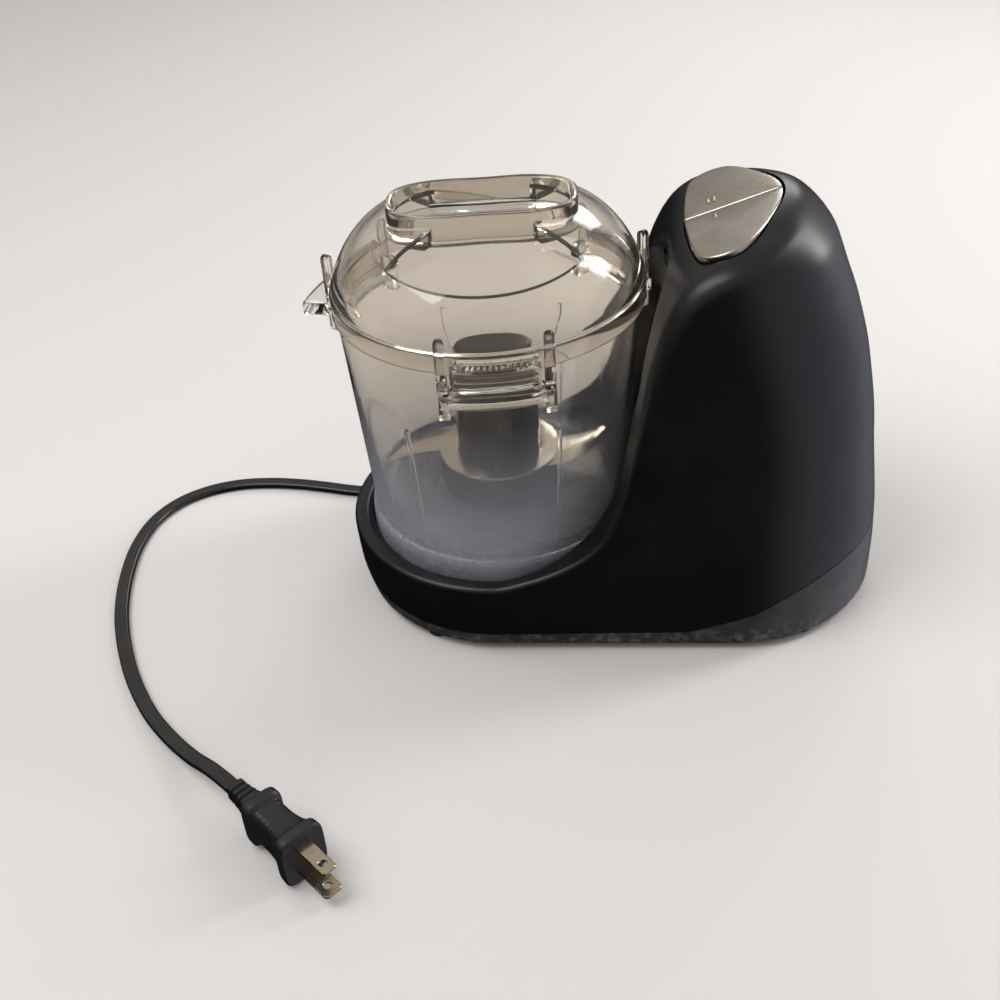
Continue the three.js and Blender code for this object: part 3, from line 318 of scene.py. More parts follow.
# A smooth curve through points, never past them: cubic pieces whose slope at each point is the weighted
# harmonic mean of the slopes beside it.
def through(points, x):
    xs, ys = np.array(points, float).T
    h = np.diff(xs)
    d = np.diff(ys) / h
    m = np.concatenate([[d[0]], np.zeros(len(d) - 1), [d[-1]]])
    same = d[:-1] * d[1:] > 0
    w1 = 2 * h[1:] + h[:-1]
    w2 = h[1:] + 2 * h[:-1]
    safe = np.where(same, d[:-1], 1), np.where(same, d[1:], 1)
    m[1:-1] = np.where(same, (w1 + w2) / (w1 / safe[0] + w2 / safe[1]), 0)
    x = np.clip(np.asarray(x, float), xs[0], xs[-1])
    i = np.clip(np.searchsorted(xs, x) - 1, 0, len(h) - 1)
    t = (x - xs[i]) / h[i]
    a = ys[i] * (1 + 2 * t) * (1 - t) ** 2 + ys[i + 1] * t * t * (3 - 2 * t)
    return a + h[i] * (m[i] * t * (1 - t) ** 2 - m[i + 1] * t * t * (1 - t))


# The intersection of two distance fields with its edge rounded: the larger of the two, and within the
# radius of the edge the length of both past it.
def roundedMax(a, b, r):
    corner = np.hypot(np.maximum(a + r, 0), np.maximum(b + r, 0)) - r
    return np.where((a > -r) & (b > -r), corner, np.maximum(a, b))


# An outline with each corner replaced by a short curve: (1 - t)^2 times a point before the corner, 2t(1 -
# t) times the corner and t^2 times a point after it.
def eased(points, radius, steps=4, closed=False):
    p = np.array(points, float)
    r = np.broadcast_to(np.asarray(radius, float), len(p))
    t = np.linspace(0, 1, steps + 1)[:, None]
    out = []
    for i, corner in enumerate(p):
        if not closed and i in (0, len(p) - 1) or r[i] == 0:
            out.append(corner[None])
            continue
        a, b = p[i - 1] - corner, p[(i + 1) % len(p)] - corner
        la, lb = np.linalg.norm(a), np.linalg.norm(b)
        cutBack = min(r[i], 0.45 * la, 0.45 * lb)
        start, end = corner + a / la * cutBack, corner + b / lb * cutBack
        out.append((1 - t) ** 2 * start + 2 * t * (1 - t) * corner + t * t * end)
    return np.concatenate(out)


# A visible piece: it rides on a body, stands in for a CAD node and takes the finish as its material. The slot
# argument is not used.
def meshPiece(name, vertices, faces, finish, body, node, slot):
    mesh = bpy.data.meshes.new(name)
    mesh.from_pydata(toMetres(vertices).tolist(), [], faces)
    mesh.materials.append(finish)
    piece = bpy.data.objects.new(name, mesh)
    scene.collection.objects.link(piece)
    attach(piece, body)
    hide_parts(node)
    return piece


# Smooth shading, broken at edges sharper than the angle.
def smooth(piece, angle):
    mesh = piece.data
    mesh.polygons.foreach_set("use_smooth", np.ones(len(mesh.polygons), bool))
    mesh.set_sharp_from_angle(angle=math.radians(angle))
    mesh.update()


# Quads between the rows of a grid: point (i, j) joins (i + 1, j) and (i, j + 1), and every row is a closed
# ring.
def gridFaces(rows, columns, wrapRows=False):
    i, j = np.meshgrid(np.arange(rows if wrapRows else rows - 1), np.arange(columns), indexing="ij")
    i2, j2 = (i + 1) % rows, (j + 1) % columns
    quads = np.stack([i * columns + j, i * columns + j2, i2 * columns + j2, i2 * columns + j], -1)
    return quads.reshape(-1, 4).tolist()


# The same, with the first and last ring closed by one face each.
def cappedFaces(rows, columns):
    last = (rows - 1) * columns
    return gridFaces(rows, columns) + [list(range(columns))[::-1], list(range(last, last + columns))]


# Merges doubled points and turns the faces out.
def outward(piece):
    bpy.context.view_layer.objects.active = piece
    piece.select_set(True)
    bpy.ops.object.mode_set(mode="EDIT")
    bpy.ops.mesh.select_all(action="SELECT")
    bpy.ops.mesh.remove_doubles(threshold=1e-6)
    bpy.ops.mesh.normals_make_consistent(inside=False)
    bpy.ops.object.mode_set(mode="OBJECT")
    piece.select_set(False)
    return piece


def settled(piece, angle):
    outward(piece)
    smooth(piece, angle)
    return piece


def solidFrom(vertices, faces):
    mesh = bpy.data.meshes.new("tool")
    mesh.from_pydata(toMetres(vertices).tolist(), [], faces)
    tool = bpy.data.objects.new("tool", mesh)
    scene.collection.objects.link(tool)
    return outward(tool)


# Cuts tools out of a piece, or joins them to it.
def combine(piece, tools, operation="DIFFERENCE", angle=32.0):
    for tool in tools:
        change = piece.modifiers.new("change", "BOOLEAN")
        change.operation = operation
        change.solver = "EXACT"
        change.object = tool
        applyModifiers(piece)
        bpy.data.objects.remove(tool)
    smooth(piece, angle)
    return piece


def applyModifiers(piece):
    bpy.context.view_layer.update()
    graph = bpy.context.evaluated_depsgraph_get()
    made = bpy.data.meshes.new_from_object(piece.evaluated_get(graph))
    piece.modifiers.clear()
    piece.data = made


# Gives a skin its wall, inwards.
def thicken(piece, wall):
    shell = piece.modifiers.new("wall", "SOLIDIFY")
    shell.thickness = wall / 1000
    shell.offset = -1
    shell.use_even_offset = False
    applyModifiers(piece)
    return piece


# Revolves a profile of [radius, height] about a vertical axis: x = r cos t, y = r sin t.
def revolved(profile, segments, x=0.0, y=0.0):
    profile = np.array(profile, float)
    t = np.arange(segments) / segments * tau
    r, z = profile[:, :1], profile[:, 1:]
    return np.stack([x + r * np.cos(t), y + r * np.sin(t), z + 0 * t], -1).reshape(-1, 3)


# A piece whose profile closes on itself, as a ring's or a cup's wall does.
def closedRing(name, profile, finish, body, node, slot, segments, angle):
    faces = gridFaces(len(profile), segments, wrapRows=True)
    return settled(meshPiece(name, revolved(profile, segments), faces, finish, body, node, slot), angle)


# A solid whose profile starts and ends beside the axis.
def closedTurn(profile, segments=180, x=0.0, y=0.0):
    return revolved(profile, segments, x, y), cappedFaces(len(profile), segments)


# A flat outline carried from one height to another: near each end it is inset along a quarter circle. Ends
# closed.
def slab(outline, low, high, edge=0.4, steps=3):
    p = np.array(outline, float)
    ahead, behind = np.roll(p, -1, 0), np.roll(p, 1, 0)
    along = ahead - behind
    along /= np.linalg.norm(along, axis=1)[:, None]
    inwards = np.stack([-along[:, 1], along[:, 0]], -1)
    area = np.sum(p[:, 0] * ahead[:, 1] - p[:, 1] * ahead[:, 0])
    inwards *= np.sign(area)
    bends = np.linspace(0, math.pi / 2, steps + 1)
    levels = [(edge * (1 - math.sin(b)), low + edge * (1 - math.cos(b))) for b in bends]
    levels += [(edge * (1 - math.cos(b)), high - edge * (1 - math.sin(b))) for b in bends]
    rows = [np.column_stack([p + inwards * inset, np.full(len(p), z)]) for inset, z in levels]
    return np.concatenate(rows), cappedFaces(len(rows), len(p))


def blockTool(x0, x1, y0, y1, z0, z1, edge):
    corners = eased([(x0, y0), (x1, y0), (x1, y1), (x0, y1)], edge * 2, 3, closed=True)
    return slab(corners, z0, z1, edge, 2)


# An arc of a circle about (x, y), seen from above.
def arcPoints(r, start, end, steps, x=0.0, y=0.0):
    t = np.linspace(start, end, steps + 1)
    return np.column_stack([x + r * np.cos(t), y + r * np.sin(t)])


def circle(r, steps, x=0.0, y=0.0):
    return arcPoints(r, 0, tau, steps, x, y)[:-1]


# The middle of a CAD node's box, in millimetres from the bowl's axis.
def middleOf(node):
    low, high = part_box(node)
    middle = 500 * np.array(low + high)
    return middle - 1000 * np.array([bowlAxisX, bowlAxisY, 0])


# Turned about the bowl's axis.
def turnedAbout(vertices, angle):
    c, s = math.cos(angle), math.sin(angle)
    v = np.array(vertices, float)
    return np.column_stack([v[:, 0] * c - v[:, 1] * s, v[:, 0] * s + v[:, 1] * c, v[:, 2]])


cordSizes = dict(width=6.6, thickness=3.4, groove=0.5, steps=420)
cordRoute = [
    [62, 92.8, 20], [62, 95.4, 20], [62, 100, 18.6], [60, 107, 14.6], [54.5, 114, 9.8],
    [45.5, 118.8, 5.6], [34.5, 120.2, 3], [22, 118.2, 2], [8, 112.6, 2], [-6, 104, 2], [-20, 93.4, 2],
    [-34, 81.2, 2], [-47, 69.6, 2], [-58, 60.6, 2], [-67, 55, 2], [-76, 53, 2], [-87, 54.4, 2],
    [-98, 57, 2], [-114.5, 60.2, 2], [-131, 61.6, 2], [-147, 60.4, 2], [-162.5, 55, 2], [-175.5, 45, 2],
    [-184.5, 29.5, 2], [-188, 9, 2], [-186.6, -15, 2], [-181.6, -40, 2], [-173.6, -63, 2],
    [-162, -87, 2], [-148, -108.4, 2.4], [-134, -124.6, 4.4], [-120.6, -138, 7.8],
    [-109.4, -147.6, 11.2], [-99.6, -156.3, 12.5], [-97.3, -158.4, 12.6],
]


# A curve through points whose parameter grows with the square root of each step's length, resampled evenly.
def evenCurve(points, count):
    p = np.array(points, float)
    p = np.concatenate([2 * p[:1] - p[1:2], p, 2 * p[-1:] - p[-2:-1]])
    t = np.concatenate([[0], np.cumsum(np.sqrt(np.linalg.norm(np.diff(p, axis=0), axis=1)))])
    out = []
    for i in range(1, len(p) - 2):
        u = np.linspace(t[i], t[i + 1], 25)[:, None]
        a1, a2, a3 = [((t[k + 1] - u) * p[k] + (u - t[k]) * p[k + 1]) / (t[k + 1] - t[k])
                      for k in (i - 1, i, i + 1)]
        b1 = ((t[i + 1] - u) * a1 + (u - t[i - 1]) * a2) / (t[i + 1] - t[i - 1])
        b2 = ((t[i + 2] - u) * a2 + (u - t[i]) * a3) / (t[i + 2] - t[i])
        out.append((((t[i + 1] - u) * b1 + (u - t[i]) * b2) / (t[i + 1] - t[i]))[:-1])
    curve = np.concatenate([*out, p[-2:-1]])
    run = np.concatenate([[0], np.cumsum(np.linalg.norm(np.diff(curve, axis=0), axis=1))])
    at = np.linspace(0, run[-1], count)
    return np.column_stack([np.interp(at, run, curve[:, k]) for k in range(3)]), run[-1]


# The twin flex: a flat section with a groove along its middle, carried along the route and kept level.
# Section at angle a: half width times cos a, and thickness shrunk near the middle by a bell curve.
def makeCord(finish):
    path, length = evenCurve(cordRoute, cordSizes["steps"])
    a = np.arange(36) / 36 * tau
    lobe = cordSizes["thickness"] / 2
    across = (cordSizes["width"] / 2 - lobe) * np.sign(np.cos(a)) * np.minimum(1, np.abs(np.cos(a)) * 2.2)
    across = across + lobe * np.cos(a)
    dip = cordSizes["groove"] * np.exp(-(across / 0.7) ** 2)
    high = np.sign(np.sin(a)) * (lobe * np.abs(np.sin(a)) ** 0.8 - dip * np.abs(np.sin(a)))
    along = np.gradient(path, axis=0)
    side = np.cross([0, 0, 1], along)
    side /= np.linalg.norm(side, axis=1)[:, None]
    lift = np.cross(along, side)
    lift /= np.linalg.norm(lift, axis=1)[:, None]
    grid = path[:, None] + side[:, None] * across[None, :, None] + lift[:, None] * high[None, :, None]
    cord = meshPiece("mains_cord", grid.reshape(-1, 3), cappedFaces(len(path), len(a)), finish, "base",
                     "power_cord", "cord_black")
    return settled(cord, 60), path, length


plugPlace = dict(at=(-63.5, -190, 12.6), turn=math.atan2(-0.686, 0.727))
plugSizes = dict(
    width=[(-46, 7.6), (-42, 7.9), (-33, 10.2), (-30.2, 11.2), (-29, 15.2), (-28, 16.2), (-25, 16.4),
           (-24, 15.4), (-22.6, 13.1), (-16, 13.2), (-10, 14.2), (-5.2, 17.2), (-4.2, 19.2), (-0.8, 19.6),
           (0, 18.4)],
    height=[(-46, 8), (-42, 8.6), (-33, 11.4), (-30.2, 13), (-29, 20.6), (-28, 22.2), (-25, 22.6),
            (-24, 21.4), (-22.6, 18.2), (-16, 18.4), (-10, 19.8), (-5.2, 22.6), (-4.2, 24.2), (-0.8, 24.6),
            (0, 23.4)],
    corner=0.42, sleeveRibs=(-44, -34), sleevePitch=3.2, sleeveDepth=0.55, grip=(-21, -10.5), gripPitch=2.6,
    gripDepth=0.35, steps=[(-46, -30, 60), (-30, -22, 34), (-22, -6, 40), (-6, 0, 30)],
)
bladeForm = dict(gauge=12.7, narrow=6.35, wide=7.9, back=-11.4, tip=17.2, holeX=12.6, holeR=1.6, half=0.75,
                 bevel=0.28)


def fromPlug(vertices):
    v = turnedAbout(vertices, plugPlace["turn"])
    return v + np.array(plugPlace["at"])


# Notches at an even pitch from a start, as a share of one: 1 over the middle part of each pitch.
def notches(x, start, pitch, part, low, high):
    return (np.abs(((x - start) / pitch) % 1 - 0.5) < part) * ((x > low) & (x < high))


# The plug's body: a rounded box section whose width and height follow two smooth curves of the distance
# from its face. Section at angle a: (w/2) |cos a|^k and (h/2) |sin a|^k with k below 1 for square
# shoulders.
def makePlug(finish, metal):
    p = plugSizes
    x = np.unique(np.concatenate([np.linspace(*run) for run in p["steps"]]))
    sleeve = p["sleeveDepth"] * notches(x, p["sleeveRibs"][0], p["sleevePitch"], 0.22, *p["sleeveRibs"])
    grip = p["gripDepth"] * notches(x, p["grip"][0], p["gripPitch"], 0.2, *p["grip"])
    w, h = through(p["width"], x) - 2 * sleeve - 2 * grip, through(p["height"], x) - 2 * sleeve
    a = np.arange(96) / 96 * tau
    y = np.sign(np.cos(a)) * np.abs(np.cos(a)) ** p["corner"] * w[:, None] / 2
    z = np.sign(np.sin(a)) * np.abs(np.sin(a)) ** p["corner"] * h[:, None] / 2
    grid = np.stack([np.broadcast_to(x[:, None], y.shape), y, z], -1)
    body = meshPiece("plug_moulding", fromPlug(grid.reshape(-1, 3)), cappedFaces(len(x), len(a)), finish,
                     "base", "plug_body", "cord_black")
    settled(body, 40)
    half = bladeForm["gauge"] / 2
    return [body, plugBlade("plug_blade_narrow", half, bladeForm["narrow"], metal),
            plugBlade("plug_blade_wide", -half, bladeForm["wide"], metal)]


# A flat blade: rings of points from the outline to the hole's edge, on both faces, closed round the rim and
# the hole.
def plugBlade(name, z, wide, metal):
    a = (np.arange(72) + 0.5) / 72 * tau
    holeX, holeR, half, bevel = (bladeForm[key] for key in ("holeX", "holeR", "half", "bevel"))
    c, s = np.cos(a), np.sin(a)
    long = np.where(c > 0, bladeForm["tip"] - holeX, holeX - bladeForm["back"])
    reach = np.minimum(long / np.maximum(np.abs(c), 1e-6), wide / 2 / np.maximum(np.abs(s), 1e-6))
    outer = np.stack([holeX + reach * c, reach * s], -1)
    nearTip = np.clip((outer[:, 0] - (bladeForm["tip"] - 1.6)) / 1.6, 0, 1)
    outer[:, 1] *= 1 - 0.28 * nearTip ** 2
    centre = np.array([holeX, 0.0])
    hole = centre + holeR * np.stack([c, s], -1)
    inner = centre + (holeR + 0.25) * np.stack([c, s], -1)
    edge = centre + (outer - centre) * (1 - bevel / np.linalg.norm(outer - centre, axis=1))[:, None]
    rings = [(inner, half), (edge, half), (outer, half - bevel), (outer, bevel - half), (edge, -half),
             (inner, -half), (hole, bevel - half), (hole, half - bevel)]
    grid = np.stack([np.column_stack([r, np.full(len(a), z + up)]) for r, up in rings])
    faces = gridFaces(len(rings), len(a), wrapRows=True)
    blade = meshPiece(name + "_metal", fromPlug(grid.reshape(-1, 3)), faces, metal, "base", name,
                      "plug_nickel")
    return settled(blade, 28)


reliefSizes = dict(x=62.0, z=20.0, start=62.0, collar=68.5, end=92.4, pitch=3.0, depth=0.5, holeR=4.7,
                   sleeveR=4.1, endR=4.0, taper=[(0.2, 5.7), (0.8, 6.15), (2.4, 5.95), (3.2, 5.5)])


# The sleeve round the cord where it leaves the base: a stepped taper with notches, its radius a function of
# y.
def makeRelief(finish):
    start, collar, end = (reliefSizes[key] for key in ("start", "collar", "end"))
    y = np.unique(np.concatenate([np.linspace(start, collar, 12), np.linspace(collar, end, 90)]))
    inside = [(start, reliefSizes["sleeveR"]), (collar - 0.1, reliefSizes["sleeveR"])]
    outside = [(collar + dy, r) for dy, r in reliefSizes["taper"]]
    r = through([*inside, *outside, (end - 0.6, reliefSizes["endR"] + 0.5), (end, reliefSizes["endR"])], y)
    r = r - reliefSizes["depth"] * notches(y, collar + 4, reliefSizes["pitch"], 0.22, collar + 4, end - 2)
    a = np.arange(48) / 48 * tau
    grid = np.stack([reliefSizes["x"] + r[:, None] * np.cos(a), np.broadcast_to(y[:, None], (len(y), len(a))),
                     reliefSizes["z"] + r[:, None] * np.sin(a)], -1)
    relief = meshPiece("cord_relief", grid.reshape(-1, 3), cappedFaces(len(y), len(a)), finish, "base",
                       "strain_relief", "rubber_black")
    return settled(relief, 40)


# Heights and sizes of the base's level section, which is two circles and the straight lines that touch
# both.
baseForm = dict(
    bowlR=[(3, 65.5), (7, 66.8), (20, 69.2), (38, 70), (81, 69.5), (116, 66.5), (140, 58), (156, 55.5),
           (168, 53.5), (176, 51), (182, 46), (190, 38)],
    towerC=[(3, 105), (38, 105.5), (81, 106.5), (116, 103), (140, 97.5), (156, 93.5), (168, 90.5),
            (176, 88.5), (180, 90.5), (183, 93), (190, 94)],
    towerR=[(3, 66), (20, 66), (38, 65), (81, 59.5), (116, 57.5), (140, 56.5), (156, 54.5), (168, 53),
            (172, 52.3), (176, 50.3), (180, 45), (183, 39.5), (186, 36.2), (190, 33)],
    swoop=[(-200, 38), (0, 38), (15.8, 41.6), (29, 47), (42, 55.5), (50, 65.5), (55, 77), (59, 94),
           (63, 113.3), (66.6, 131.3), (70, 143.2), (73.3, 152.6), (76.8, 160), (81, 166.2), (86, 170.8),
           (92, 174.4), (100, 178.4), (110, 182.5), (140, 193.4)],
    pocket=[(20, 61), (35, 61), (38, 63), (60, 66), (99, 69.4), (125, 75.5), (131, 75.5), (220, 75.5)],
    parting=[(-105, 11), (82, 11), (92, 13.5), (109, 19), (125, 27), (141, 33), (155, 36), (231, 38)],
    deckZ=31.0, floorZ=3.0, wall=2.4, bulge=4.5, lowEdge=2.4, topEdge=8.0, rimEdge=1.4, seam=0.5,
    footEdge=2.6,
)
underside = dict(ventPitch=9.0, ventHalf=1.6, ventReach=16.0, screwHoleR=3.8, screwHoleTop=4.4)
corners = ("rear_left", "front_left", "rear_right", "front_right")


# Rises from 0 to 1 between two heights, level at both ends: s^2 (3 - 2s).
def rising(z, low, high):
    share = np.clip((z - low) / (high - low), 0, 1)
    return share * share * (3 - 2 * share)


# Distance outside the outline of two circles, radius b at the bowl's axis and t at distance c, seen from
# above.
def twoCircles(x, y, b, t, c):
    side = np.abs(y)
    lean = (b - t) / c
    run = np.sqrt(1 - lean * lean)
    k = run * x - lean * side
    near = np.hypot(x, y) - b
    far = np.hypot(x - c, y) - t
    flank = run * side + lean * x - b
    return np.where(k < 0, near, np.where(k > run * c, far, flank))


def outerWall(x, y, z):
    b, c, t = (through(baseForm[k], z) for k in ("bowlR", "towerC", "towerR"))
    return twoCircles(x, y, b, t, c)


# Height above the edge that sweeps up from the collar to the panel, divided by its slope's length.
def aboveSwoop(x, y, z):
    shifted = x + baseForm["bulge"] * np.maximum(0, 1 - (y / 60) ** 2) * rising(z, 68, 143)
    top = through(baseForm["swoop"], shifted)
    slope = (through(baseForm["swoop"], shifted + 0.4) - through(baseForm["swoop"], shifted - 0.4)) / 0.8
    return (z - top) / np.sqrt(1 + slope * slope)


# The housing as a field, negative inside: below the swoop, within the outer wall and outside the bowl's
# pocket.
def housingField(rho, theta, z):
    x, y = rho * np.cos(theta), rho * np.sin(theta)
    lean = outerWall(x, y, z + 0.5) - outerWall(x, y, z - 0.5)
    wall = outerWall(x, y, z) / np.sqrt(1 + lean * lean)
    edge = baseForm["lowEdge"] + (baseForm["topEdge"] - baseForm["lowEdge"]) * rising(z, 70, 150)
    body = roundedMax(wall, aboveSwoop(x, y, z), edge)
    pocket = through(baseForm["pocket"], z) - rho
    return roundedMax(body, pocket, baseForm["rimEdge"])


# How far out the wall stands at an angle and a height, found by halving.
def wallRho(theta, z):
    low, high = np.zeros_like(theta), np.full_like(theta, 260.0)
    for halving in range(34):
        mid = (low + high) / 2
        out = outerWall(mid * np.cos(theta), mid * np.sin(theta), z) > 0
        low, high = np.where(out, low, mid), np.where(out, mid, high)
    return (low + high) / 2


# Where the seam between housing and cover meets the wall at each angle: its height depends on x, so it is
# repeated.
def seamAt(theta, drop=0.0):
    z = np.full_like(theta, 12.0)
    for repeat in range(12):
        rho = wallRho(theta, z)
        z = through(baseForm["parting"], rho * np.cos(theta)) - drop
    return rho, z


# Angles about the bowl's axis, closer together towards the tower: evenly spaced along the running sum of a
# bell.
def columnAngles(count):
    even = np.linspace(-math.pi, math.pi, 4001)
    weight = 1 + 1.3 * np.exp(-(even / 0.75) ** 4)
    run = np.concatenate([[0], np.cumsum((weight[1:] + weight[:-1]) / 2)])
    return np.interp(np.arange(count) / count * run[-1], run, even)


# The housing's skin. For each angle about the bowl's axis, rays from a point inside the section meet the
# field's zero; the points are then spread along the section by length plus six millimetres for each radian
# of turning.
def makeHousing(finish):
    columns, rows = 300, 150
    theta = columnAngles(columns)
    seamRho, seamZ = seamAt(theta)
    bed = baseForm["pocket"][0][1]
    midRho = (bed + seamRho) / 2
    midZ = 12 + 0.4 * (through(baseForm["swoop"], midRho * np.cos(theta)) - 12)
    first = np.arctan2(baseForm["deckZ"] - midZ, bed - midRho) % tau
    last = np.arctan2(seamZ - midZ, seamRho - midRho)
    share = np.linspace(0, 1, 620)[:, None]
    ray = first + (last - first) * share
    shape = ray.shape
    flatTheta = np.broadcast_to(theta, shape)
    c, s = np.cos(ray), np.sin(ray)
    low, high = np.zeros(shape), np.full(shape, 210.0)
    for halving in range(24):
        mid = (low + high) / 2
        out = housingField(midRho + mid * c, flatTheta, midZ + mid * s) > 0
        low, high = np.where(out, low, mid), np.where(out, mid, high)
    rho, z = midRho + low * c, midZ + low * s
    dr, dz = np.diff(rho, axis=0), np.diff(z, axis=0)
    turn = np.abs(np.diff(np.unwrap(np.arctan2(dz, dr), axis=0), axis=0))
    turn = np.concatenate([turn[:1], turn])
    step = np.hypot(dr, dz) + 6 * np.minimum(turn, 0.5)
    run = np.concatenate([np.zeros((1, columns)), np.cumsum(step, axis=0)])
    at = np.linspace(0, 1, rows)
    sections = []
    for j in range(columns):
        place = at * run[-1, j]
        sections.append(np.stack([np.interp(place, run[:, j], level) for level in (rho[:, j], z[:, j])], -1))
    deckR = np.array([8.2, 12, 30, 50, bed - 0.6])[:, None, None]
    deck = np.broadcast_to(deckR * [1, 0] + [0, baseForm["deckZ"]], (len(deckR), columns, 2))
    section = np.concatenate([deck, np.stack(sections, 1)])
    r, h = section[..., 0], section[..., 1]
    grid = np.stack([r * np.cos(theta), r * np.sin(theta), h], -1)
    housing = meshPiece("tower_housing", grid.reshape(-1, 3), gridFaces(len(section), columns), finish,
                        "base", "upper_housing", "housing_black")
    return thicken(outward(housing), baseForm["wall"])


# The cover's skin: the wall from the seam down, a quarter round at its foot, and the floor drawn in to the
# axis.
def makeCover(finish):
    columns = 260
    theta = columnAngles(columns)
    z = seamAt(theta, baseForm["seam"])[1]
    floorZ, edge = baseForm["floorZ"], baseForm["footEdge"]
    rows = []
    for share in np.linspace(0, 1, 22):
        level = z + (floorZ + edge - z) * share
        rows.append(np.stack([wallRho(theta, level), level], -1))
    foot = rows[-1][:, 0]
    for b in np.linspace(0, math.pi / 2, 8)[1:]:
        level = np.full(columns, floorZ + edge * (1 - math.sin(b)))
        rows.append(np.stack([foot - edge * (1 - math.cos(b)), level], -1))
    inner = rows[-1][:, 0]
    for share in (0.92, 0.7, 0.45, 0.2, 0.02):
        rows.append(np.stack([inner * share, np.full(columns, floorZ)], -1))
    section = np.stack(rows)
    grid = np.stack([section[..., 0] * np.cos(theta), section[..., 0] * np.sin(theta), section[..., 1]], -1)
    n, m = len(rows), columns
    faces = gridFaces(n, m) + [list(range((n - 1) * m, n * m))]
    cover = meshPiece("base_pan", grid.reshape(-1, 3), faces, finish, "base", "base_cover", "cover_charcoal")
    thicken(outward(cover), baseForm["wall"])
    tools = []
    u = underside
    for i in range(-2, 3):
        x = towerX + i * u["ventPitch"]
        vent = blockTool(x - u["ventHalf"], x + u["ventHalf"], -u["ventReach"], u["ventReach"], 0, 8, 0.5)
        tools.append(solidFrom(*vent))
    for corner in corners:
        x, y = middleOf("cover_screw_" + corner)[:2]
        tools.append(solidFrom(*slab(circle(u["screwHoleR"], 32, x, y), 0, u["screwHoleTop"], 0.01, 1)))
    return combine(cover, tools)


panelFrame = dict(tilt=math.atan(0.352), origin=(100.0, 0.0, 179.54), gap=0.9, proud=1.1, lip=1.1, crown=0.5)
pickHalf = [(-19.6, 0), (-19, 14), (-17.6, 27), (-14.6, 36.5), (-7, 40.4), (1, 38.8), (8, 31.8), (15, 20.4),
            (19.8, 10), (21.4, 0)]
buttonMarks = {1: [(-9.5, 7, 4.2), (-7, 7.4, 4.2)], -1: [(-7.5, -8.2, 3.4)]}  # each raised bar's u, v, length


# From panel coordinates (u up the slope, v across, w out) to the bowl's.
def onPanel(vertices):
    v = np.array(vertices, float)
    c, s = math.cos(panelFrame["tilt"]), math.sin(panelFrame["tilt"])
    place = np.array(panelFrame["origin"])
    return np.column_stack([v[:, 0] * c - v[:, 2] * s, v[:, 1], v[:, 0] * s + v[:, 2] * c]) + place


# The outline of both buttons: a closed smooth curve through the half's points and their mirror image.
def pickOutline(grow, count=160):
    points = np.array(pickHalf + [(u, -v) for u, v in pickHalf[-2:0:-1]], float)
    n = len(points)
    t = np.linspace(0, n, count, endpoint=False)
    i = t.astype(int)
    f = (t - i)[:, None]
    p0, p1, p2, p3 = (points[(i + k) % n] for k in (-1, 0, 1, 2))
    curve = 0.5 * (2 * p1 + (p2 - p0) * f + (2 * p0 - 5 * p1 + 4 * p2 - p3) * f ** 2
                   + (3 * p1 - p0 - 3 * p2 + p3) * f ** 3)
    return curve * (1 + grow / np.linalg.norm(curve, axis=1))[:, None]


# One button: its half of the outline and rings that shrink towards its middle, with a rounded edge and a
# low crown.
def makeButton(name, side, finish):
    outline = pickOutline(0, 320)
    half = outline[outline[:, 1] * side > 0.2]
    half = half[np.argsort(np.arctan2(half[:, 1] * side, half[:, 0]))]
    seam = np.linspace(half[-1, 0], half[0, 0], 40)[1:-1]
    ring = np.concatenate([half, np.column_stack([seam, np.full(38, 0.2 * side)])])
    middle = np.array([0.5, 17.0 * side])
    away = ring - middle
    reach = np.linalg.norm(away, axis=1)[:, None]
    top, lip = panelFrame["proud"], panelFrame["lip"]
    levels = [(0.3, -5.1), (0.0, -4.8), (0.0, -2), (0.0, top - lip)]
    bends = np.linspace(0.2, math.pi / 2, 6)
    levels += [(lip * (1 - math.cos(b)), top - lip * (1 - math.sin(b))) for b in bends]
    rows = []
    for inset, w in levels:
        p = middle + away * (1 - inset / reach)
        rows.append(np.column_stack([p, np.full(len(p), w)]))
    for share in (0.9, 0.75, 0.55, 0.35, 0.15, 0.03):
        p = middle + away * (1 - lip / reach) * share
        rows.append(np.column_stack([p, np.full(len(p), top + panelFrame["crown"] * (1 - share ** 2))]))
    body = "button_" + name
    piece = meshPiece("button_cap_" + name, onPanel(np.concatenate(rows)), cappedFaces(len(rows), len(ring)),
                      finish, body, body, "button_champagne")
    outward(piece)
    marks = []
    for u, v, long in buttonMarks[side]:
        bar = eased([(u, v), (u + 1.4, v), (u + 1.4, v + long), (u, v + long)], 0.6, 4, closed=True)
        vertices, barFaces = slab(bar, top - 0.4, top + panelFrame["crown"] + 0.25, 0.25)
        marks.append(solidFrom(onPanel(vertices), barFaces))
    vertices, stemFaces = slab(circle(1.6, 24, 2, 13 * side), -8.2, -4.0, 0.2)
    marks.append(solidFrom(onPanel(vertices), stemFaces))
    return combine(piece, marks, "UNION", 40)


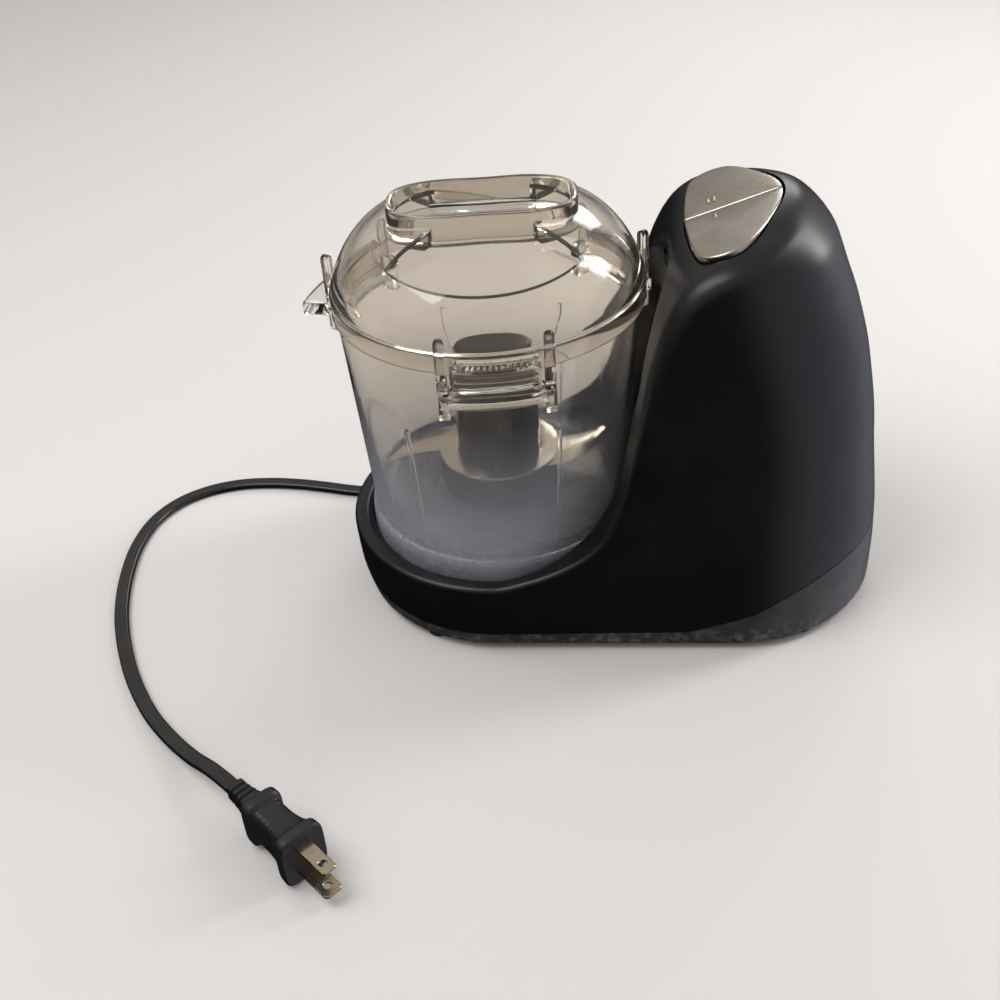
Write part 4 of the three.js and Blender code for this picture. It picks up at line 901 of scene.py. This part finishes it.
# The housing's holes: the buttons', the interlock's keyhole with a slot beside it, and the cord sleeve's.
def cutHousing(housing):
    hole, holeFaces = slab(pickOutline(panelFrame["gap"]), -14, 14, 0.01, 1)
    tools = [solidFrom(onPanel(hole), holeFaces)]
    y, z = middleOf("interlock_plunger")[1:]
    v, f = slab(arcPoints(3.9, -0.75 * math.pi, 0.75 * math.pi, 24), 70, 84, 0.01, 1)
    tools.append(solidFrom(np.column_stack([v[:, 2], v[:, 0] + y, v[:, 1] + z]), f))
    tools.append(solidFrom(*blockTool(60, 82, 34, 35.4, 144, 152, 0.3)))
    v, f = slab(circle(reliefSizes["holeR"], 32), 58, 74, 0.01, 1)
    sleeve = np.column_stack([v[:, 0] + reliefSizes["x"], v[:, 2], v[:, 1] + reliefSizes["z"]])
    tools.append(solidFrom(sleeve, f))
    return combine(housing, tools)


bowlSizes = dict(footR=60.4, lidR=66.6, rimR=64.8, wall=2.2, floorZ=46.0, deckZ=31.3, skirtZ=143.0,
                 rimZ=150.6, tubeIn=7.5, tubeOut=10.0, tubeTop=86.5, tubeLow=33.5, spread=42.0, postW=4.2,
                 postProud=4.6, stationR=73.0, frontR=83.0, ledgeZ=(131, 137), bracketZ=(125, 142.4),
                 postZ=(138, 160), stations=(32, 152, 272), ribs=(-122, -60, 62, 118), ribTop=109.0,
                 ribHalf=0.9, lidTurn=4.5)


def stationAngles():
    return [math.radians(bowlSizes["lidTurn"] + degrees) for degrees in bowlSizes["stations"]]


# A post with a rounded top: a slab across the wall whose outline, seen from outside, ends in a half circle.
def postTool(x0, x1, y, z0, z1, width):
    r = width / 2
    outline = np.concatenate([[(y - r, z0), (y + r, z0)], arcPoints(r, 0, math.pi, 10, y, z1 - r)])
    v, f = slab(outline, x0, x1, 0.5, 2)
    return np.column_stack([v[:, 2], v[:, 0], v[:, 1]]), f


# A piece of a ring: out along one arc, back along the other.
def ledgeTool(inner, outer, half, z0, z1, edge=0.6):
    outline = np.concatenate([arcPoints(outer, -half, half, 16), arcPoints(inner, half, -half, 16)])
    return slab(outline, z0, z1, edge, 2)


# The bowl: a closed wall profile turned about the axis, with a tube in its middle, the lock stations and
# four ribs.
def makeBowl(finish):
    b = bowlSizes
    tubeIn, tubeOut, tubeTop, tubeLow = (b[key] for key in ("tubeIn", "tubeOut", "tubeTop", "tubeLow"))
    under = b["floorZ"] - b["wall"]
    profile = [
        [tubeIn, tubeLow], [tubeIn, tubeTop], [tubeOut, tubeTop], [tubeOut + 0.4, b["floorZ"]],
        [b["footR"] - 6.4, b["floorZ"]], [b["footR"] - 3.7, b["floorZ"] + 2.5],
        [b["rimR"] - b["wall"], b["skirtZ"]], [b["rimR"] - b["wall"], b["rimZ"]], [b["rimR"], b["rimZ"]],
        [b["rimR"], b["skirtZ"]],
        [b["footR"] - 1.6, b["floorZ"] + 4], [b["footR"], under - 1], [b["footR"], b["deckZ"]],
        [b["footR"] - b["wall"], b["deckZ"]], [b["footR"] - b["wall"], under - 1.2], [b["footR"] - 5, under],
        [tubeOut, under], [tubeOut, tubeLow],
    ]
    radii = [0.6, 0.6, 0.6, 1.5, 3, 3, 1, 0.8, 0.8, 1, 2.5, 1.2, 0.7, 0.7, 1.5, 1.5, 1.5, 0.6]
    outline = eased(profile, radii, 4, closed=True)
    bowl = closedRing("chopper_bowl", outline, finish, "bowl", "bowl", "clear_plastic", 180, 40)
    tools = []
    half = b["spread"] / 2 / b["lidR"]
    for k, angle in enumerate(stationAngles()):
        outer = b["frontR"] if k == 1 else b["stationR"]
        tools.append((ledgeTool(b["rimR"] - 0.9, outer, half, *b["ledgeZ"], 0.7), angle))
        for side in (-1, 1):
            y = side * b["spread"] / 2
            x = math.sqrt(b["lidR"] ** 2 - y * y) - b["lidR"]
            reach = x + b["lidR"] + b["postProud"]
            tools.append((postTool(x + b["rimR"] - 1.1, reach, y, *b["bracketZ"], b["postW"]), angle))
            tools.append((postTool(x + b["lidR"] + 1, reach, y, *b["postZ"], b["postW"]), angle))
    for degrees in b["ribs"]:
        foot, low = b["footR"], b["floorZ"] + 1
        outline = [(foot - 5, low), (foot - 2.8, low), (foot + 1, b["ribTop"]), (foot - 1.2, b["ribTop"])]
        v, f = slab(outline, -b["ribHalf"], b["ribHalf"], 0.35, 2)
        tools.append(((v[:, [0, 2, 1]], f), math.radians(degrees)))
    return combine(bowl, [solidFrom(turnedAbout(v, a), f) for (v, f), a in tools], "UNION", 40)


lidSizes = dict(topZ=184.5, rimZ=151.0, skirtZ=143.3, rimR=66.6, skirtInR=65.3, handleTop=188.0, half=39.0,
                lobe=21.5, pinch=18.8, pinchX=17.0, handleWall=2.6, hollowZ=176.0, wall=2.2, scoopLow=171.3,
                scoopSlope=0.164, gripR=70.6, gripZ=(137.3, 150), ridgeR=71.8, ridges=(139.4, 143.2, 147.0))


# The handle's outline at angle t: x is half times cos t, y the lobe less a bell-shaped pinch at the middle.
def handleOutline(inset):
    s = lidSizes
    t = np.arange(140) / 140 * tau
    x = (s["half"] - inset) * np.cos(t)
    y = (s["lobe"] - inset - (s["lobe"] - s["pinch"]) * np.exp(-(x / s["pinchX"]) ** 2)) * np.sign(np.sin(t))
    return np.column_stack([x, y * np.abs(np.sin(t)) ** 0.62])


# A closed solid from the handle's outline at rising heights, each given as [inset, height].
def stacked(levels):
    outlines = [handleOutline(inset) for inset, z in levels]
    n = len(outlines[0])
    rows = [np.column_stack([outline, np.full(n, z)]) for outline, (inset, z) in zip(outlines, levels)]
    return np.concatenate(rows), cappedFaces(len(rows), n)


# The space of the finger scoop in front of the handle: a rounded outline, above a plane that rises to the
# handle.
def scoopTool(grow):
    s = lidSizes
    reach = s["rimR"] - 9.1
    half = [(20, -14), (20, -s["lobe"] - 0.5), (27, 0.5 - reach / 2), (0.72 * reach, -0.695 * reach),
            (0.76 * reach, -0.74 * reach), (0.76 * reach, -s["rimR"] - 4)]
    half = [(x + grow, y + grow) for x, y in half]
    outline = eased([(-x, y) for x, y in half] + half[::-1], 4, 5, closed=True)
    low = s["scoopLow"] - 1.03 * grow + s["scoopSlope"] * (outline[:, 1] + reach)
    rows = [np.column_stack([outline, low]), np.column_stack([outline, np.full(len(outline), 215.0)])]
    return np.concatenate(rows), cappedFaces(2, len(outline))


# The lid's profile in three runs: over the dome, round the skirt and back under the dome.
def lidSections():
    s = lidSizes
    top, r, rim = s["topZ"], s["rimR"], s["rimZ"]
    over = [[0, top], [20, top - 0.4], [34, top - 1.5], [r - 21.6, top - 4.7], [r - 13.6, top - 9.7],
            [r - 7.1, top - 17.3], [r - 2.6, rim + 7.5], [r, rim + 0.6]]
    under = [[r - 3.8, rim + 1.5], [r - 5, rim + 7], [r - 8.9, top - 18.6], [r - 15, top - 11.4],
             [r - 22.6, top - 6.7], [33.6, top - 3.7], [19.9, top - 2.6], [0, top - 2.2]]
    domeOut = spread(eased(over, 9, 6), 50)
    domeIn = spread(eased(under, [0, 4, 8, 8, 8, 8, 8, 0], 6), 46)
    skirt = eased([[r, rim + 0.6], [r, s["skirtZ"]], [s["skirtInR"], s["skirtZ"]], [s["skirtInR"], rim],
                   [r - 3.8, rim], [r - 3.8, rim + 1.5]], 0.5, 3)
    domeOut[0, 0] = domeIn[-1, 0] = 0.3
    return domeOut, skirt, domeIn


# The lid: the turned dome and skirt, joined with the scoops' walls and the handle, then hollowed, then the
# grips.
def makeLid(finish):
    s = lidSizes
    turn = math.radians(bowlSizes["lidTurn"])
    domeOut, skirt, domeIn = lidSections()
    profile = np.concatenate([domeOut, skirt[1:-1], domeIn])
    lid = outward(meshPiece("chopper_lid", *closedTurn(profile), finish, "lid", "lid", "clear_plastic"))

    def tool(shape, angle=turn):
        return solidFrom(turnedAbout(shape[0], angle), shape[1])

    walls = []
    for side in (0, math.pi):
        wall = tool(scoopTool(s["wall"]), turn + side)
        filled = np.concatenate([domeOut, [[s["rimR"] - 0.3, s["rimZ"]], [0.3, s["rimZ"]]]])
        combine(wall, [tool(closedTurn(filled))], "INTERSECT")
        walls.append(wall)
    top, low = s["handleTop"], s["hollowZ"] - s["wall"]
    ring = [(0.4, low), (0, low + 0.4), (0, top - 1.2), (0.16, top - 0.6), (0.6, top - 0.16), (1.2, top)]
    combine(lid, [*walls, tool(stacked(ring))], "UNION")
    cuts = []
    for side in (0, math.pi):
        space = tool(scoopTool(0), turn + side)
        combine(space, [tool(stacked([(0, 140), (0, 230)]))])
        cuts.append(space)
    inset, floor = s["handleWall"], s["hollowZ"]
    hollow = [(inset + 2, floor), (inset + 0.6, floor + 0.5), (inset, floor + 2), (inset, top - 1),
              (inset - 0.3, top - 0.4), (inset - 1.1, top + 0.05), (inset - 1.1, top + 5)]
    combine(lid, [*cuts, tool(stacked(hollow))])
    grips = []
    half = (bowlSizes["spread"] / 2 - bowlSizes["postW"]) / s["rimR"]
    for angle in stationAngles():
        grips.append(tool(ledgeTool(s["skirtInR"], s["gripR"], half, *s["gripZ"], 0.6), angle))
        for z in s["ridges"]:
            ridge = ledgeTool(s["gripR"] - 0.8, s["ridgeR"], half - 0.02, z - 0.8, z + 0.8, 0.5)
            grips.append(tool(ridge, angle))
    return combine(lid, grips, "UNION", 34)


# Points of an outline respaced evenly along it.
def spread(points, count):
    p = np.array(points, float)
    run = np.concatenate([[0], np.cumsum(np.linalg.norm(np.diff(p, axis=0), axis=1))])
    at = np.linspace(0, run[-1], count)
    return np.column_stack([np.interp(at, run, p[:, 0]), np.interp(at, run, p[:, 1])])


hubSizes = dict(
    profile=[[0.4, 111], [17.6, 111], [18.6, 110], [18.9, 64.5], [28, 64.5], [28, 50], [26, 50], [26, 62],
             [12, 62], [12, 88.5], [7.6, 88.5], [7.6, 105.6], [0.4, 105.6]],
    corners=[0, 0.9, 0.9, 0.5, 1.2, 0.5, 0.5, 1, 1, 0.5, 0.5, 0.5, 0],
)
bladeSizes = dict(tip=52.0, root=24.0, z=64.8, thick=1.4, ringIn=19.3, ringOut=27.6, lead=0.2, trail=-0.75)


def makeHub(finish):
    shape = closedTurn(eased(hubSizes["profile"], hubSizes["corners"]), 120)
    return settled(meshPiece("blade_column", *shape, finish, "blade", "blade_hub", "hub_black"), 35)


# A quadratic curve between its first and last point, pulled towards its middle one.
def pulled(first, middle, last, u):
    return (1 - u) ** 2 * np.array(first) + 2 * u * (1 - u) * np.array(middle) + u * u * np.array(last)


# One arm: between its cutting edge and its back, both quadratic curves, with the third beside the edge
# ground thin.
def bladeArm(angle):
    tip, root, z, lead, trail = (bladeSizes[key] for key in ("tip", "root", "z", "lead", "trail"))
    u = np.linspace(0, 1, 40)[:, None]
    edge = pulled((root * math.cos(trail), root * math.sin(trail)), (tip * 0.78, -16),
                  (tip * math.cos(lead), tip * math.sin(lead)), u)
    back = pulled((root * math.cos(lead), root * math.sin(lead)), (tip * 0.72, 5),
                  (tip * math.cos(lead + 0.03) - 2, tip * math.sin(lead + 0.03) + 1), u)
    shares = np.array([0, 0.12, 0.34, 0.36, 0.6, 0.97, 1, 1, 0.97, 0.6, 0.36, 0.34, 0.12, 0])
    thick = np.array([0.086, 0.357, 0.943, 1, 1, 1, 0.929, 0.071, 0, 0, 0, 0, 0, 0])
    heights = thick * bladeSizes["thick"]
    flat = edge[:, None] + (back - edge)[:, None] * shares[None, :, None]
    grid = np.concatenate([flat, np.broadcast_to(z + heights[None, :, None], (*flat.shape[:2], 1))], -1)
    return turnedAbout(grid.reshape(-1, 3), angle), cappedFaces(len(u), len(shares))


def makeBlade(finish):
    inner, outer, low = bladeSizes["ringIn"], bladeSizes["ringOut"], bladeSizes["z"]
    high = low + bladeSizes["thick"]
    ring = eased([[inner, low], [outer, low], [outer, high], [inner, high]], 0.25, 3, closed=True)
    blade = closedRing("blade_steel", ring, finish, "blade", "blade_plate", "blade_steel", 120, 32)
    arms = [solidFrom(*bladeArm(angle)) for angle in (0, math.pi)]
    return combine(blade, arms, "UNION", 25)


footSizes = dict(profile=[[0.3, 0], [5.5, 0], [5.2, 2.7], [2.4, 2.7], [2.4, 7], [0.3, 7]],
                 corners=[0, 0.8, 0.3, 0.3, 0.4, 0])


# Each foot: a round pad and the stem that holds it in the cover.
def makeFeet(finish):
    profile = eased(footSizes["profile"], footSizes["corners"])
    for corner in corners:
        x, y = middleOf("foot_" + corner)[:2]
        foot = meshPiece("rubber_foot_" + corner, *closedTurn(profile, 40, x, y), finish, "base",
                         "foot_" + corner, "rubber_black")
        settled(foot, 35)


carried = {
    "steel": [*("cover_screw_" + corner for corner in corners), "drive_shaft", "motor_shaft", "motor_pulley",
              "motor_bracket_lower", "motor_bracket_upper", "motor_bolt_rear", "motor_bolt_front",
              "button_spring_high", "button_spring_low", "interlock_spring"],
    "bronze": ["drive_bush_lower", "drive_bush_upper"],
    "copper": ["armature_winding", "commutator", "field_coil_left", "field_coil_right"],
    "iron": ["stator_core", "armature_core"],
    "nylon": ["drive_coupling", "drive_pulley", "cooling_fan", "brush_holder_left", "brush_holder_right",
              "interlock_plunger"],
    "carbon": ["carbon_brush_left", "carbon_brush_right"],
    "switch": ["switch_high", "switch_low", "interlock_switch"],
    "board": ["switch_board"],
    "rubber": ["drive_belt"],
}


# The inner parts keep the CAD's own meshes and take only a finish.
def paintCarried(made):
    for finish, names in carried.items():
        for name in names:
            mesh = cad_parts[name].data
            mesh.materials.clear()
            mesh.materials.append(made[finish])


makeCamera()
made = makeFinishes()
makeStage()
print("stage: camera, floor and lights")
cord, cordPath, cordLength = makeCord(made["vinyl"])
plugPieces = makePlug(made["plugVinyl"], made["nickel"])
relief = makeRelief(made["rubber"])
toMetres(cordPath[0])
toMetres(cordPath)
print("stage: cord", round(cordLength), "mm, and plug")
housing = cutHousing(makeHousing(made["housing"]))
print("stage: housing", len(housing.data.polygons), "faces")
makeCover(made["cover"])
makeFeet(made["rubber"])
print("stage: cover and feet")
for label, side in (("high", 1), ("low", -1)):
    makeButton(label, side, made["button"])
print("stage: buttons")
makeBowl(made["clear"])
makeLid(made["lid"])
print("stage: bowl and lid")
makeHub(made["hub"])
makeBlade(made["blade"])
paintCarried(made)
print("stage: blade and carried parts")
